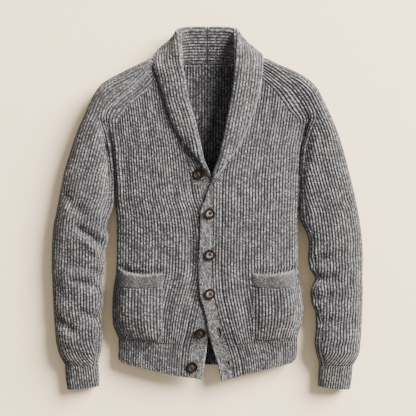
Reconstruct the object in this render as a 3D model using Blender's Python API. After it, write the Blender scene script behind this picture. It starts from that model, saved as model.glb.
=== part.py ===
"""Shawl collar cardigan, laid face up: ribbed wool walls and six round buttons."""

import math

import bmesh
import bpy
import numpy as np

# Driving dimensions, in millimetres. u runs out from the centre front, y up to the collar, z off the floor.
WALL = 2.8  # thickness of the cloth without its ribs
GAP = 0.3  # between pieces sewn together
NECK_GAP = 0.9  # between the fronts and the collar, where its fall hides it
RIB = 1.2  # height of a rib over the cloth
BODY_PITCH = 6.2  # from rib to rib on the panels and sleeves
TRIM_PITCH = 5.1  # the same on hem, cuffs and pocket tops
STRIP_PITCH = 6.1  # the same on the collar and button bands
PLAIN = 6  # columns of the flat underside of a sleeve
COARSE = 5  # columns of the ribbed face for each column of the plain face
CROWN = 3.4  # higher is flatter over the middle of the fronts
UNDERARM = 73.1
HEM_TOP = -276.0
HEM_FOOT = -322.0
RIB_LEAN = 0.6  # share of the collar seam's lean that the ribs beside it take
HEM_SLOPE = 0.22  # how far the front hem drops towards the centre, per mm
BUTTON_DIAMETER = 22.0
BUTTON_THICK = 4.2

# Rows of the fronts below the neck opening, and of the hem
FRONT_ROWS = (35, -15, -80, -145, -195, -235, -258, -275.7)
HEM_ROWS = (-276, -298, -322)
# Rows that collar and fronts share above the band
NECK_ROWS = (188.6, 158.1, 138, 119.7, 96, 73.1, 56.3)
JOIN = 16  # the last of them, where the collar ends and the band begins

# y, height of the body, exponent of its edge (0.5 rolls over to upright, 1 meets the seam at a slope)
BODY = [
    (-370, 40, 0.5), (-326, 41, 0.5), (-284, 43.5, 0.5), (-268, 49, 0.5), (-250, 54, 0.5), (-215, 57, 0.5),
    (-120, 56, 0.5), (0, 57, 0.5), (73.1, 56, 0.5), (120, 55, 0.5), (158, 54, 0.62), (188.6, 52.5, 0.8),
    (218, 51, 1.0), (250, 50, 1.0), (285, 48, 1.0), (310, 45, 1.0),
]


class Half:
    """One side of the garment, all in u, y, z."""

    def __init__(self, name, sign, lift, flat_from, side, raglan, tube, strip):
        self.name = name
        self.sign = sign
        self.lift = lift
        self.flat_from = flat_from
        self.side = Curve(side)
        self.raglan = np.array(raglan)
        self.tube = Curve(tube)
        self.strip = Curve([(i, *row) for i, row in enumerate(strip)])
        fine = np.linspace(4, len(strip) - 1, 600)
        self.fine = np.column_stack([fine, self.strip(fine)[:, :2]])
        rows = [self.station(y) for y in NECK_ROWS]
        rows += [self.station(y - sag(self.seam_u(y), y)) for y in FRONT_ROWS + HEM_ROWS[1:]]
        self.nodes = [0, 1, 2, 3, 4, 4.5, 5, 6, 7, 7.5] + [float(row) for row in rows]
        self.fine = np.column_stack([self.nodes[4:], self.strip(self.nodes[4:])[:, :2]])

    def seam_u(self, y):
        """The seam of collar and band with the front, at this height."""
        return np.interp(-np.asarray(y, float), -self.fine[:, 2], self.fine[:, 1])

    def station(self, y):
        return np.interp(-np.asarray(y, float), -self.fine[:, 2], self.fine[:, 0])


class Curve:
    """A smooth curve that never overshoots, through the rows of a table, by their first column."""

    def __init__(self, rows):
        rows = np.array(sorted(rows), float)
        self.x, self.v = rows[:, 0], rows[:, 1:]
        self.h = np.diff(self.x)[:, None]
        slope = np.diff(self.v, axis=0) / self.h
        same = slope[:-1] * slope[1:] > 0
        mean = 2 * slope[:-1] * slope[1:] / np.where(same, slope[:-1] + slope[1:], 1)
        self.m = np.vstack([slope[:1], np.where(same, mean, 0), slope[-1:]])

    def __call__(self, x):
        x = np.clip(np.asarray(x, float), self.x[0], self.x[-1])
        i = np.clip(np.searchsorted(self.x, x) - 1, 0, len(self.h) - 1)
        h = self.h[i]
        t = (x[..., None] - self.x[i][..., None]) / h
        a, b = self.v[i], self.v[i + 1]
        ma, mb = self.m[i] * h, self.m[i + 1] * h
        return a + t * (ma + t * (3 * (b - a) - 2 * ma - mb + t * (2 * (a - b) + ma + mb)))


body = Curve(BODY)


def unit(v):
    return v / np.maximum(np.linalg.norm(v, axis=-1, keepdims=True), 1e-12)


def step(x):
    x = np.clip(x, 0, 1)
    return x * x * (3 - 2 * x)


def along(path, d):
    """Points at the distances d along a path of points."""
    arc = np.concatenate([[0], np.cumsum(np.linalg.norm(np.diff(path, axis=0), axis=1) + 1e-9)])
    return np.stack([np.interp(d, arc, path[:, i]) for i in range(3)], axis=-1)


def length(path):
    return np.linalg.norm(np.diff(path, axis=0), axis=1).sum()


# ---- body surface ---------------------------------------------------------------------------------


def front_edge(half, y):
    """u and z of the front's outer edge: side seam, then raglan seam."""
    if y <= UNDERARM:
        return half.side(y)[0], body(y)[0] / 2 + GAP / 2
    table = half.raglan[::-1]
    return np.interp(y, table[:, 1], table[:, 0]), np.interp(y, table[:, 1], table[:, 2])


def front_height(half, u, y):
    """Height of the front's outer face."""
    reach, low = front_edge(half, y)
    top, power = body(y)
    z = low + (top - low) * (1 - np.clip(np.abs(u) / reach, 0, 1) ** CROWN) ** power
    near = 1 - step((np.abs(u) - 35) / 70)
    return z + half.lift * near * (1 - step((y - 90) / 90)) * (1 - 0.5 * step((-y - 300) / 60))


def sag(u, y):
    """How far the lower front drops towards the centre."""
    drop = HEM_SLOPE * (190 - np.clip(u, -20, 190))
    return drop * (0.25 * step((-y - 200) / 76) + 0.75 * step((HEM_TOP - y) / (HEM_TOP - HEM_FOOT)))


def front_path(half, y):
    """Section of the front from its inner seam to its outer edge."""
    reach = front_edge(half, y)[0]
    level = min(y, 60.0)
    inner = float(half.seam_u(level - sag(half.seam_u(level), level)))
    inner += RIB_LEAN * max(0.0, float(half.seam_u(y)) - inner) * (y > 60)
    q = np.sin(np.linspace(0, math.pi / 2, 140))
    u = inner + (reach - inner) * q
    return np.stack([u, y - sag(u, y), front_height(half, u, y)], axis=-1)


def front_ribs(half):
    return round(length(front_path(half, -60.0)) / BODY_PITCH)


def front_point(half, a, y):
    """A point of the front at the share a of the way out, at height y."""
    path = front_path(half, y)
    full = length(path if y < 188.6 else front_path(half, 188.6))
    return along(path, np.clip(np.asarray(a) * full, 0, length(path)))


def front_limits(half, y):
    """The shares at which this row starts and ends."""
    path = front_path(half, y)
    full = length(path if y < 188.6 else front_path(half, 188.6))
    start = 0.0
    if y > 60:
        seam = float(half.seam_u(y))
        start = np.interp(seam, path[:, 0], np.linspace(0, 1, len(path)))
        start = length(path[: int(start * (len(path) - 1)) + 2])
    gap = NECK_GAP if y > 195 else 0.45 if y > 60 else GAP
    return (start + gap) / full, length(path) / full


def normals(point, a, b, da, db, flip=1):
    across = point(a + da, b) - point(a - da, b)
    down = point(a, b + db) - point(a, b - db)
    return unit(np.cross(across, down)) * flip


# ---- meshes ---------------------------------------------------------------------------------------


def zip_rows(high, high_columns, low, low_columns):
    """Faces between two rows of vertices, either of which may skip columns."""
    faces, i, j = [], 0, 0
    while i + 1 < len(high) or j + 1 < len(low):
        gap = (high_columns[i + 1] if i + 1 < len(high) else 9e9) - (
            low_columns[j + 1] if j + 1 < len(low) else 9e9
        )
        corners = [high[i]] + ([high[i + 1]] if gap <= 0 else []) + ([low[j + 1]] if gap >= 0 else []) + [low[j]]
        faces.append(corners)
        i, j = i + (gap <= 0), j + (gap >= 0)
    return faces


def thinned(columns, keep=()):
    """Every COARSE-th column, both ends, and those to keep."""
    return sorted({*range(0, columns, COARSE), columns - 1, *keep})


def wall(name, face, back, half, slot, face_picks=None, back_picks=None, open_rows=None):
    """A closed wall between two sheets of rows x columns of points.
    Each sheet uses the columns its picks name for a row. Rows past open_rows are rings."""
    rows, columns = face.shape[:2]
    points, index = [], {}

    def row_of(sheet, r, picks):
        chosen = picks(r) if picks else list(range(columns))
        keys = [tuple(np.round(sheet[r, c] * 1000).astype(int)) for c in chosen]
        for key, c in zip(keys, chosen):
            if key not in index:
                index[key] = len(points)
                points.append(sheet[r, c])
        return [index[key] for key in keys], chosen

    f = [row_of(face, r, face_picks) for r in range(rows)]
    g = [row_of(back, r, back_picks) for r in range(rows)]
    faces = zip_rows(*g[0], *f[0]) + zip_rows(*f[-1], *g[-1])
    for r in range(rows - 1):
        faces += zip_rows(*f[r], *f[r + 1]) + zip_rows(*g[r + 1], *g[r])
        if open_rows is None or r < open_rows:
            faces.append((f[r][0][0], f[r + 1][0][0], g[r + 1][0][0], g[r][0][0]))
            faces.append((f[r + 1][0][-1], f[r][0][-1], g[r][0][-1], g[r + 1][0][-1]))
    clean = []
    for corners in faces:
        kept = [v for i, v in enumerate(corners) if v != corners[i - 1]]
        if len(set(kept)) > 2:
            clean.append(kept)
    points = np.array(points) * (half.sign if half else 1, 1, 1)
    return add_mesh(name, points, clean, slot)


def add_mesh(name, points, faces, slot):
    mesh = bpy.data.meshes.new(name)
    mesh.from_pydata([tuple(p) for p in np.asarray(points) / 1000], [], faces)
    box = bmesh.new()
    box.from_mesh(mesh)
    if box.calc_volume(signed=True) < 0:
        bmesh.ops.reverse_faces(box, faces=box.faces)
    box.to_mesh(mesh)
    box.free()
    mesh.materials.append(MATERIALS[slot])
    shape = bpy.data.objects.new(name, mesh)
    PARTS.objects.link(shape)
    return shape


def snap(values, low, high, pitch):
    """Columns held between two limits, and moved on to one that is near."""
    values = np.where(values < low + 0.35 * pitch, low, values)
    return np.where(values > high - 0.35 * pitch, high, values)


def ridge(count, values, low, high):
    """Every second column stands up, unless it lies on a limit."""
    inside = (values > low + 1e-9) & (values < high - 1e-9)
    return RIB * (np.arange(count) % 2 == 1) * inside


# ---- pieces ---------------------------------------------------------------------------------------


def ribbed_front(name, half, levels, ribs, slot):
    """Rows of the front from low to high, with this many ribs between band and side."""
    shares = np.arange(2 * ribs + 9) / (2 * ribs)
    face, back = [], []
    for y in levels:
        low, high = front_limits(half, y)
        a = snap(shares, low, high, 0.5 / ribs)
        p = front_point(half, a, y)
        n = normals(lambda s, t: front_point(half, s, t), np.clip(a, 0.002, high - 0.002), y, 0.002, 0.6)
        height = ridge(len(a), a, low, high)
        if y > 20:
            height *= np.where(a > 0.75 * high, np.clip(1.6 * n[:, 2], 0, 1), 1)
        if y <= UNDERARM:
            n[a >= high] = (1, 0, 0)
        else:
            p[:, 0] -= GAP / 2 * (a >= high)
        if y <= HEM_TOP + 1:
            n[:, 1] = 0
        face.append(p + n * height[:, None])
        back.append(p - unit(n) * WALL)
    return wall(
        name, np.array(face), np.array(back), half, slot, back_picks=lambda r: thinned(len(shares))
    )


def build_front(half):
    levels = sorted({*FRONT_ROWS, 56.3, 96, *(row[1] for row in half.raglan[1:]), 304.0})
    return ribbed_front("front_" + half.name, half, levels, front_ribs(half), "wool_body")


def build_hem_front(half):
    ribs = round(length(front_path(half, -300.0)) / TRIM_PITCH)
    return ribbed_front("hem_front_" + half.name, half, sorted(HEM_ROWS), ribs, "wool_trim")


def back_edge(half, y):
    if y <= UNDERARM:
        return half.side(y)[0], body(y)[0] / 2 - GAP / 2
    table = half.raglan[::-1]
    return np.interp(y, table[:, 7], table[:, 6]) - GAP / 2, np.interp(y, table[:, 7], table[:, 8])


def back_point(a, y):
    """A point of the back's underside, from the right edge (-1) to the left edge (1)."""
    a = np.asarray(a, float)
    neck = step((y - 270) / 40)
    out = []
    for share in np.atleast_1d(a):
        half = RIGHT if share < 0 else LEFT
        reach, edge = back_edge(half, y)
        u = abs(share) * reach
        width = 30 + 36 * neck
        s = np.clip(1 - (reach - u) / width, 0, 1)
        low = 6 * neck
        out.append((half.sign * u, y, low + (edge - low) * (1 - math.sqrt(max(0, 1 - s * s)))))
    return np.array(out).reshape(a.shape + (3,))


def build_back(name, levels, slot):
    shares = np.sin(np.linspace(-math.pi / 2, math.pi / 2, 15))
    face, back = [], []
    for y in levels:
        p = back_point(shares, y)
        n = normals(back_point, shares * 0.998, y, 0.001, 0.3, -1)
        n[:, 1] = 0
        n[:, 2] = np.minimum(n[:, 2], 0)
        if y <= UNDERARM:
            n[0], n[-1] = (-1, 0, 0), (1, 0, 0)
        face.append(p)
        back.append(p - unit(n) * WALL)
    return wall(name, np.array(face), np.array(back), None, slot)


def sleeve_path(half, b):
    """Two paths from the outer fold: over the top to the front seam, and under to the back seam.
    b counts raglan stations down to the underarm, then millimetres along the tube / 1000 on."""
    last = len(half.raglan) - 1
    if b < last:
        row = np.array([np.interp(b, np.arange(last + 1), half.raglan[:, i]) for i in range(10)])
        front, outer, rear, crest = row[0:3], row[3:6], row[6:9], row[9]
    else:
        y = tube_level(b, last)
        inner, out, crest = half.tube(y)
        slant = 0.11 * (out - inner) * step((-330 - y) / 30)
        outer = np.array([out, y - slant, crest * 0.48])
        front = rear = np.array([inner, y, crest * 0.5])
    if b < last:
        front, rear = front + (GAP / 2, 0, 0), rear + (GAP / 2, 0, 0)
    upright = step((b - 2.5) / 2.5)
    q = (1 - np.cos(np.linspace(0, math.pi, 90))) / 2
    peak = 0.5
    rise = np.where(
        q < peak,
        outer[2] + (crest - outer[2]) * np.sqrt(1 - np.clip((peak - q) / peak, 0, 1) ** 2.6),
        front[2] + (crest - front[2]) * (1 - np.clip((q - peak) / (1 - peak), 0, 1) ** 3) ** (1 - 0.5 * upright),
    )
    over = outer + q[:, None] * (front - outer)
    flat = max(0.0, 1 - b)
    over[:, 2] = flat * over[:, 2] + (1 - flat) * rise
    under = outer + q[:, None] * (rear - outer)
    width = np.linalg.norm((rear - outer)[:2])
    turn = min(32.0, 0.45 * width)
    near = np.clip(1 - q * width / turn, 0, 1)
    far = np.clip(1 - (1 - q) * width / turn, 0, 1)
    fall = outer[2] * (1 - np.sqrt(1 - near**2)) + rear[2] * (1 - np.sqrt(1 - far**2))
    under[:, 2] = flat * under[:, 2] + (1 - flat) * fall
    return over, under


def tube_level(b, last):
    return UNDERARM - (b - last) * 100.0


def sleeve_point(half, d, b):
    over, under = sleeve_path(half, b)
    d = np.asarray(d, float)
    top = along(over, np.maximum(d, 0))
    low = along(under, np.maximum(-d, 0))
    return np.where(d[..., None] >= 0, top, low)


def build_tube(name, half, stations, pitch, slot):
    """A sleeve or cuff: ribs over the top from the outer fold, plain underneath."""
    last = len(half.raglan) - 1
    tops = [length(sleeve_path(half, b)[0]) for b in stations]
    ribbed = np.arange(-2, int(2 * max(tops) / pitch) + 2) * pitch / 2
    face, back = [], []
    for b in stations:
        over, under = sleeve_path(half, b)
        low, high = -length(under), length(over)
        plain = low + (ribbed[0] - low) * np.linspace(0, 1, PLAIN + 1)[:-1]
        d = np.concatenate([plain, snap(ribbed, low, high, pitch / 2)])
        p = sleeve_point(half, d, b)
        n = normals(lambda s, t: sleeve_point(half, s, t), np.clip(d, low + 0.5, high - 0.5), b, 0.4, 0.004)
        if b >= last:
            ends = unit(n[0] + n[-1] - (0.2, 0, 0)) * (1, 0, 1)
            n[0] = n[d >= high] = unit(ends)
        height = ridge(len(d), d, low, high) * (np.arange(len(d)) > PLAIN)
        height *= np.where(d > 0.75 * high, np.clip(1.6 * n[:, 2], 0, 1), 1)
        face.append(p + n * height[:, None])
        back.append(p - n * WALL)
    first = next(i for i, b in enumerate(stations) if b >= last)
    picks = thinned(len(d), range(PLAIN))
    return wall(
        name, np.array(face), np.array(back), half, slot, back_picks=lambda r: picks, open_rows=first
    )


def strip_legs(half, b):
    """Section of the collar and band strip through the middle of its wall: from the roll to the seam
    and from the roll to the free edge."""
    row = half.strip(b)
    seam, roll, free, fold, dome = row[0:3].copy(), row[3:6].copy(), row[6:9].copy(), row[9], row[10]
    if b > 4:
        held = front_height(half, seam[0], seam[1]) - WALL / 2
        seam[2] += (held - seam[2]) * step(b - 4)
    if b >= half.flat_from:
        roll[2] = free[2] = front_height(half, roll[0], roll[1]) - WALL / 2
    ahead = half.strip(min(b + 0.05, half.strip.x[-1]))[3:6] - half.strip(max(b - 0.05, 0))[3:6]
    run = unit(roll - seam)
    seam = seam - (GAP, 0, 0) if b > 4.2 else seam + run * GAP
    away = unit(np.cross(run, unit(ahead)))
    turn = np.linspace(0, math.pi / 2, 16)[:, None]
    low, high = roll - fold * run - fold * away, roll - fold * run + fold * away
    stand = np.concatenate([low + fold * (np.cos(turn) * run + (1 - np.sin(turn)) * away), [seam]])
    fall = np.concatenate([high + fold * (np.cos(turn) * run - (1 - np.sin(turn)) * away), [free]])
    share = np.linspace(0, 1, 30)
    stand = along(stand, share * length(stand))
    stand[:, 2] += dome * 4 * share * (1 - share)
    if b < 1e-6:
        stand[:, 0] = fall[:, 0] = GAP / 2
    return stand, fall


def strip_point(half, s, b):
    stand, fall = strip_legs(half, b)
    s = np.asarray(s, float)
    return np.where(s[..., None] >= 0, along(stand, np.maximum(s, 0)), along(fall, np.maximum(-s, 0)))


def strip_normals(half, s, b, ends):
    b = min(max(b, 0.02), half.strip.x[-1] - 0.02)
    s = np.clip(s, ends[0] + 0.3, ends[1] - 0.3)
    return normals(lambda t, v: strip_point(half, t, v), s, b, 0.25, 0.015, -1)


def build_strip(half, piece, nodes):
    """The collar or the button band of one half, between its stations."""
    legs = [[length(leg) for leg in strip_legs(half, b)] for b in nodes]
    step_s = STRIP_PITCH / 2
    first, last = -int(max(leg[1] for leg in legs) / step_s) - 1, int(max(leg[0] for leg in legs) / step_s) + 1
    columns = np.arange(first, last + 1) * step_s
    raised = RIB * (np.arange(first, last + 1) % 2 == 1)
    face, back = [], []
    for b, (high, low) in zip(nodes, legs):
        s = snap(columns, -low, high, step_s)
        p = strip_point(half, s, b)
        n = strip_normals(half, s, b, (-low, high))
        if b == 0:
            n = unit(n * (0, 1, 1))
        if abs(b - half.nodes[JOIN]) < 0.1:
            n = unit(n * (1, 0, 1))
        shown = (raised * (s > -low + 1e-9) * (s < high - 1e-9))[:, None]
        folded = b < half.flat_from - 0.3
        face.append(p + n * (WALL / 2 + (0 if folded else shown)))
        back.append(p - n * (WALL / 2 + (shown if folded else 0)))
    all_columns = list(range(len(columns)))
    few = thinned(len(columns), [i for i, s in enumerate(columns) if abs(s) < 10])
    turned = next((i for i, b in enumerate(nodes) if b >= half.flat_from - 0.3), len(nodes))
    return wall(
        piece + half.name, np.array(face), np.array(back), half, "wool_trim",
        face_picks=lambda r: few if r < turned else all_columns,
        back_picks=lambda r: all_columns if r < turned else few,
    )


def pocket_arcs(half, y):
    """Length of the front's section at y, and how much of it the pocket takes."""
    path = front_path(half, y)
    full = length(path)
    arc = np.concatenate([[0], np.cumsum(np.linalg.norm(np.diff(path, axis=0), axis=1))])
    return full, full - np.interp(POCKET_INNER, path[:, 0], arc) - POCKET_OUTER


def build_pocket(half, name, foot, top, levels, pitch, thick, slot):
    """A patch made from the front's points moved out, its inside clear of the front."""
    count = round(pocket_arcs(half, -200.0)[1] / pitch)
    across = np.arange(2 * count + 1) / (2 * count)
    face, back = [], []
    for level in levels:
        y = foot(across) + (top(across) - foot(across)) * level
        p, n = [], []
        for share, t in zip(across, y):
            full, wide = pocket_arcs(half, t)
            a = np.array([1 - (POCKET_OUTER + wide * (1 - share)) / full])
            p.append(front_point(half, a, t)[0])
            n.append(normals(lambda s, v: front_point(half, s, v), a, t, 0.002, 0.6)[0])
        p, n = np.array(p), np.array(n)
        rise = (y - POCKET_FOOT) / (POCKET_MOUTH - POCKET_FOOT)
        puff = POCKET_PUFF * np.sin(math.pi * across) ** 0.6 * step(rise / 0.35)
        h = (RIB + 2 * GAP + 0.4 + puff)[:, None]
        face.append(p + n * (h + thick + ridge(len(across), across, 0, 1)[:, None]))
        back.append(p + n * h)
    return wall(
        name, np.array(face), np.array(back), half, slot, back_picks=lambda r: thinned(len(across))
    )


def build_button(number, centre, normal):
    """A round button with a raised rim, a dish and four holes."""
    r, t = BUTTON_DIAMETER / 2, BUTTON_THICK
    profile = [(0, 0), (r - 1.4, 0), (r, 1.6), (r - 1, t), (r - 2.6, t), (r - 4.4, t - 1.3), (0, t - 1.5)]
    turns = 14
    points, faces = [], []
    for radius, z in profile:
        if radius == 0:
            points.append((0, 0, z))
            continue
        points += [
            (radius * math.cos(2 * math.pi * i / turns), radius * math.sin(2 * math.pi * i / turns), z)
            for i in range(turns)
        ]
    rings = len(profile) - 2
    for i in range(turns):
        j = (i + 1) % turns
        faces.append((0, 1 + j, 1 + i))
        for k in range(rings - 1):
            faces.append((1 + k * turns + i, 1 + k * turns + j, 1 + (k + 1) * turns + j, 1 + (k + 1) * turns + i))
        faces.append((len(points) - 1, 1 + (rings - 1) * turns + i, 1 + (rings - 1) * turns + j))
    shape = add_mesh("button_%d" % number, points, faces, "horn")
    for k in range(4):
        angle = math.pi / 4 + k * math.pi / 2
        bpy.ops.mesh.primitive_cylinder_add(
            vertices=5, radius=0.0011, depth=0.02, location=(0.0024 * math.cos(angle), 0.0024 * math.sin(angle), 0)
        )
        cut(shape, bpy.context.object, "hole")
    z = unit(np.array(normal))
    x = unit(np.cross((0, 1, 0), z))
    y = np.cross(z, x)
    base = np.array(centre) / 1000
    for v in shape.data.vertices:
        v.co = base + v.co[0] * x + v.co[1] * y + v.co[2] * z
    return shape


def cut(shape, cutter, label):
    for owner in list(cutter.users_collection):
        owner.objects.unlink(cutter)
    CUTTERS.objects.link(cutter)
    cutter.name = "cut_%s_%s" % (shape.name, label)
    cutter.hide_render = True
    cutter.display_type = "WIRE"
    modifier = shape.modifiers.new("Cut " + label, "BOOLEAN")
    modifier.operation = "DIFFERENCE"
    modifier.solver = "EXACT"
    modifier.object = cutter
    bpy.context.view_layer.objects.active = shape
    bpy.context.view_layer.update()
    bpy.ops.object.modifier_apply(modifier=modifier.name)


def band_place(half, y, inset):
    """A place on the band this far from its seam: its centre, the way along and its normal, in x, y, z."""
    b = float(half.station(y))

    def at(t):
        return strip_point(half, np.array([length(strip_legs(half, t)[0]) - inset]), t)[0]

    wide = length(strip_legs(half, b)[0])
    n = strip_normals(half, np.array([wide - inset]), b, (0, wide))[0]
    mirror = (half.sign, 1, 1)
    return at(b) * mirror, unit(at(b + 0.05) - at(b)) * mirror, n * mirror


def build_buttons():
    for number, (half, y, inset) in enumerate(BUTTONS, 1):
        centre, _, normal = band_place(half, y, inset)
        ribs = RIB if half.station(y) >= half.flat_from - 0.3 else 0
        build_button(number, centre + normal * (WALL / 2 + ribs + 2 * GAP), normal)


def cut_buttonholes(strip):
    for number, (y, inset) in enumerate(BUTTONHOLES, 1):
        centre, run, normal = band_place(LEFT, y, inset)
        bpy.ops.mesh.primitive_cube_add(size=1)
        box = bpy.context.object
        side = np.cross(run, normal)
        for v in box.data.vertices:
            v.co = (
                centre + v.co[0] * HOLE_WIDTH * side + v.co[1] * HOLE_LENGTH * run + v.co[2] * 9 * normal
            ) / 1000
        cut(strip, box, "buttonhole_%d" % number)


# ---- tables ---------------------------------------------------------------------------------------

# y, u of the side seam
SIDE_RIGHT = [
    (-370, 184), (-326, 184), (-315, 187.4), (-296, 186.2), (-272, 186.5), (-256, 193.1), (-237, 198.1),
    (-208, 198.8), (-170, 196.9), (-135, 191.2), (-97, 189.3), (-24, 189.3), (4, 191.6), (34, 193.7), (73.1, 194.8),
]
SIDE_LEFT = [
    (-370, 184), (-326, 184), (-315, 187.6), (-296, 189.6), (-272, 189.5), (-256, 192), (-238, 198.1),
    (-208, 200.9), (-170, 194.8), (-135, 190.6), (-97, 189.5), (-24, 189.9), (4, 191.4), (34, 192.7), (73.1, 193.3),
]
# Raglan stations from the neck down: front seam u, y, z; outer fold u, y, z; back seam u, y, z; height
RAGLAN_RIGHT = [
    (91.9, 307.2, 40, 83.5, 309.3, 30, 65.6, 305.1, 15, 41),
    (116, 291.5, 45, 114.3, 313.9, 24, 82.4, 274.7, 2, 46),
    (157.4, 249.1, 46, 179.9, 285.4, 25, 111.8, 220.1, 0, 49),
    (196.9, 218, 43, 221.7, 260.8, 25, 141.2, 167.6, 0, 51),
    (210.5, 203.3, 40, 239.9, 234.8, 25, 152.8, 146.6, 0, 51),
    (215.1, 188.6, 37, 258.8, 192.8, 25, 163.3, 127.7, 1, 51),
    (204.2, 158.1, 33, 274.2, 157.1, 25, 174.8, 106.7, 4, 51),
    (198.3, 119.7, 31, 287, 119.7, 25, 186.4, 87.8, 12, 50),
    (194.8, 73.1, 27, 301, 73.1, 25, 194.8, 73.1, 27, 50),
]
RAGLAN_LEFT = [
    (90.8, 307.2, 40, 82.4, 309.3, 30, 65.6, 305.1, 15, 41),
    (119.2, 291.5, 45, 119, 315.4, 24, 82.4, 274.7, 2, 46),
    (154.9, 265.2, 46, 179, 289.8, 25, 110.8, 220.1, 0, 49),
    (191.6, 227.4, 43, 229.4, 253.7, 25, 140.2, 167.6, 0, 51),
    (205.3, 208.5, 40, 243.1, 228.5, 25, 151.7, 146.6, 0, 51),
    (216.4, 188.6, 37, 259.9, 192.8, 25, 162.2, 127.7, 1, 51),
    (204, 158.1, 33, 274.6, 157.1, 25, 173.8, 106.7, 4, 51),
    (196.2, 119.7, 31, 286.1, 119.7, 25, 184.3, 87.8, 12, 50),
    (193.3, 73.1, 27, 298.3, 73.1, 25, 193.3, 73.1, 27, 50),
]
# Sleeve and cuff: y, inner u, outer u, height
TUBE_RIGHT = [
    (73.1, 195.4, 301, 50), (35.3, 196.5, 308.1, 51), (-8.8, 204.2, 317, 52), (-38.2, 211.4, 323.4, 49),
    (-59.2, 206.5, 325, 50), (-78.1, 209.9, 326.2, 51), (-98.3, 217.9, 326.6, 49), (-124.3, 213.9, 326.9, 50),
    (-151.6, 221, 325.6, 48), (-181, 216.9, 324.2, 48), (-202, 218.7, 323.4, 48), (-228.5, 225.2, 322.2, 45),
    (-250.3, 219.7, 320.1, 47), (-277.6, 220.7, 317.8, 47), (-300.7, 223.5, 312.9, 45), (-317.5, 228.4, 305.4, 40),
    (-330, 229.4, 299.3, 34), (-353, 228, 297, 32), (-374, 227.3, 294, 31),
]
TUBE_LEFT = [
    (73.1, 193.9, 298.3, 50), (35.3, 194.2, 307.7, 51), (5.9, 193.8, 314.3, 52), (-23.5, 195.5, 320.1, 50),
    (-47.7, 207, 323.4, 50), (-71.8, 212.8, 325.6, 51), (-103.3, 211.7, 327.1, 48), (-124.3, 214.1, 326.6, 50),
    (-146.6, 226.3, 326.3, 46), (-172.6, 216.6, 326.9, 49), (-194.7, 217.9, 326.6, 46), (-216.3, 226.3, 326, 47),
    (-247.8, 228.4, 324.7, 45), (-279.1, 225, 322.4, 47), (-300.7, 228.4, 320.1, 45), (-317.5, 233.6, 313.2, 40),
    (-330, 235.5, 306.8, 34), (-353, 234.3, 303.4, 32), (-374, 233.4, 300.1, 31),
]
# Collar and band stations from centre back down: seam u, y, z; roll u, y, z; free edge u, y, z; fold, dome.
# Heights of 0 follow the front.
STRIP_RIGHT = [
    (0, 304.6, 7, 0, 380.7, 29, 0, 333.5, 3, 6, 0),
    (36.2, 305, 9, 36.2, 380.1, 30, 42.5, 339.8, 3, 6, 0),
    (64.6, 305.8, 16, 60.4, 373.4, 38, 78.2, 350.3, 6, 6, 0),
    (80.5, 308.3, 30, 58.3, 350.3, 50, 107.6, 330, 20, 5.5, 0),
    (89, 306.2, 40, 56.2, 323, 56, 112.7, 318.7, 40, 5.5, 0),
    (86.6, 285.2, 0, 53, 295.7, 58, 111.2, 295.7, 51.5, 5, 0),
    (80.3, 262.1, 0, 47.8, 270.5, 58, 102.4, 270.5, 54, 5, 0),
    (74, 228.5, 0, 42.5, 234.8, 58, 90.8, 234.8, 56, 5, 0),
    (61.4, 176, 0, 26.8, 182.3, 59, 71.9, 176, 58, 5, 0),
    (49.9, 131.9, 0, 15.2, 131.9, 59.5, 45.5, 131.9, 58.5, 5, 0),
    (42.5, 102.5, 0, 9.3, 104.6, 59, 20.5, 103.5, 59, 4, 0),
    (36.9, 71.8, 0, -4.5, 72.2, 58, 0.1, 71.4, 59.5, 2.6, 0),
    (35, 56.3, 0, -8.9, 56.3, 52.6, -8.9, 56.3, 52.6, 0, 0),
    (31.2, 35.3, 0, -12.1, 35.3, 0, -12.1, 35.3, 0, 0, 0),
    (27.2, 16.4, 0, -16.3, 16.4, 0, -16.3, 16.4, 0, 0, 0),
    (18.4, -8.8, 0, -24.7, -8.8, 0, -24.7, -8.8, 0, 0, 0),
    (11, -65.5, 0, -31.6, -65.5, 0, -31.6, -65.5, 0, 0, 0),
    (12.1, -124.3, 0, -31, -124.3, 0, -31, -124.3, 0, 0, 0),
    (23.6, -174.7, 0, -19.4, -174.7, 0, -19.4, -174.7, 0, 0, 0),
    (31.8, -204.1, 0, -13.1, -204.1, 0, -13.1, -204.1, 0, 0, 0),
    (38.1, -231.4, 0, -7.9, -231.4, 0, -7.9, -231.4, 0, 0, 0),
    (43.2, -256.6, 0, -3.7, -256.6, 0, -3.7, -256.6, 0, 0, 0),
    (50.1, -283.9, 0, -0.1, -283.9, 0, -0.1, -283.9, 0, 0, 0),
    (53.9, -317.5, 0, 4.3, -317.5, 0, 4.3, -317.5, 0, 0, 0),
    (56, -350.6, 0, 11.5, -357.2, 0, 11.5, -357.2, 0, 0, 0),
]
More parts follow.
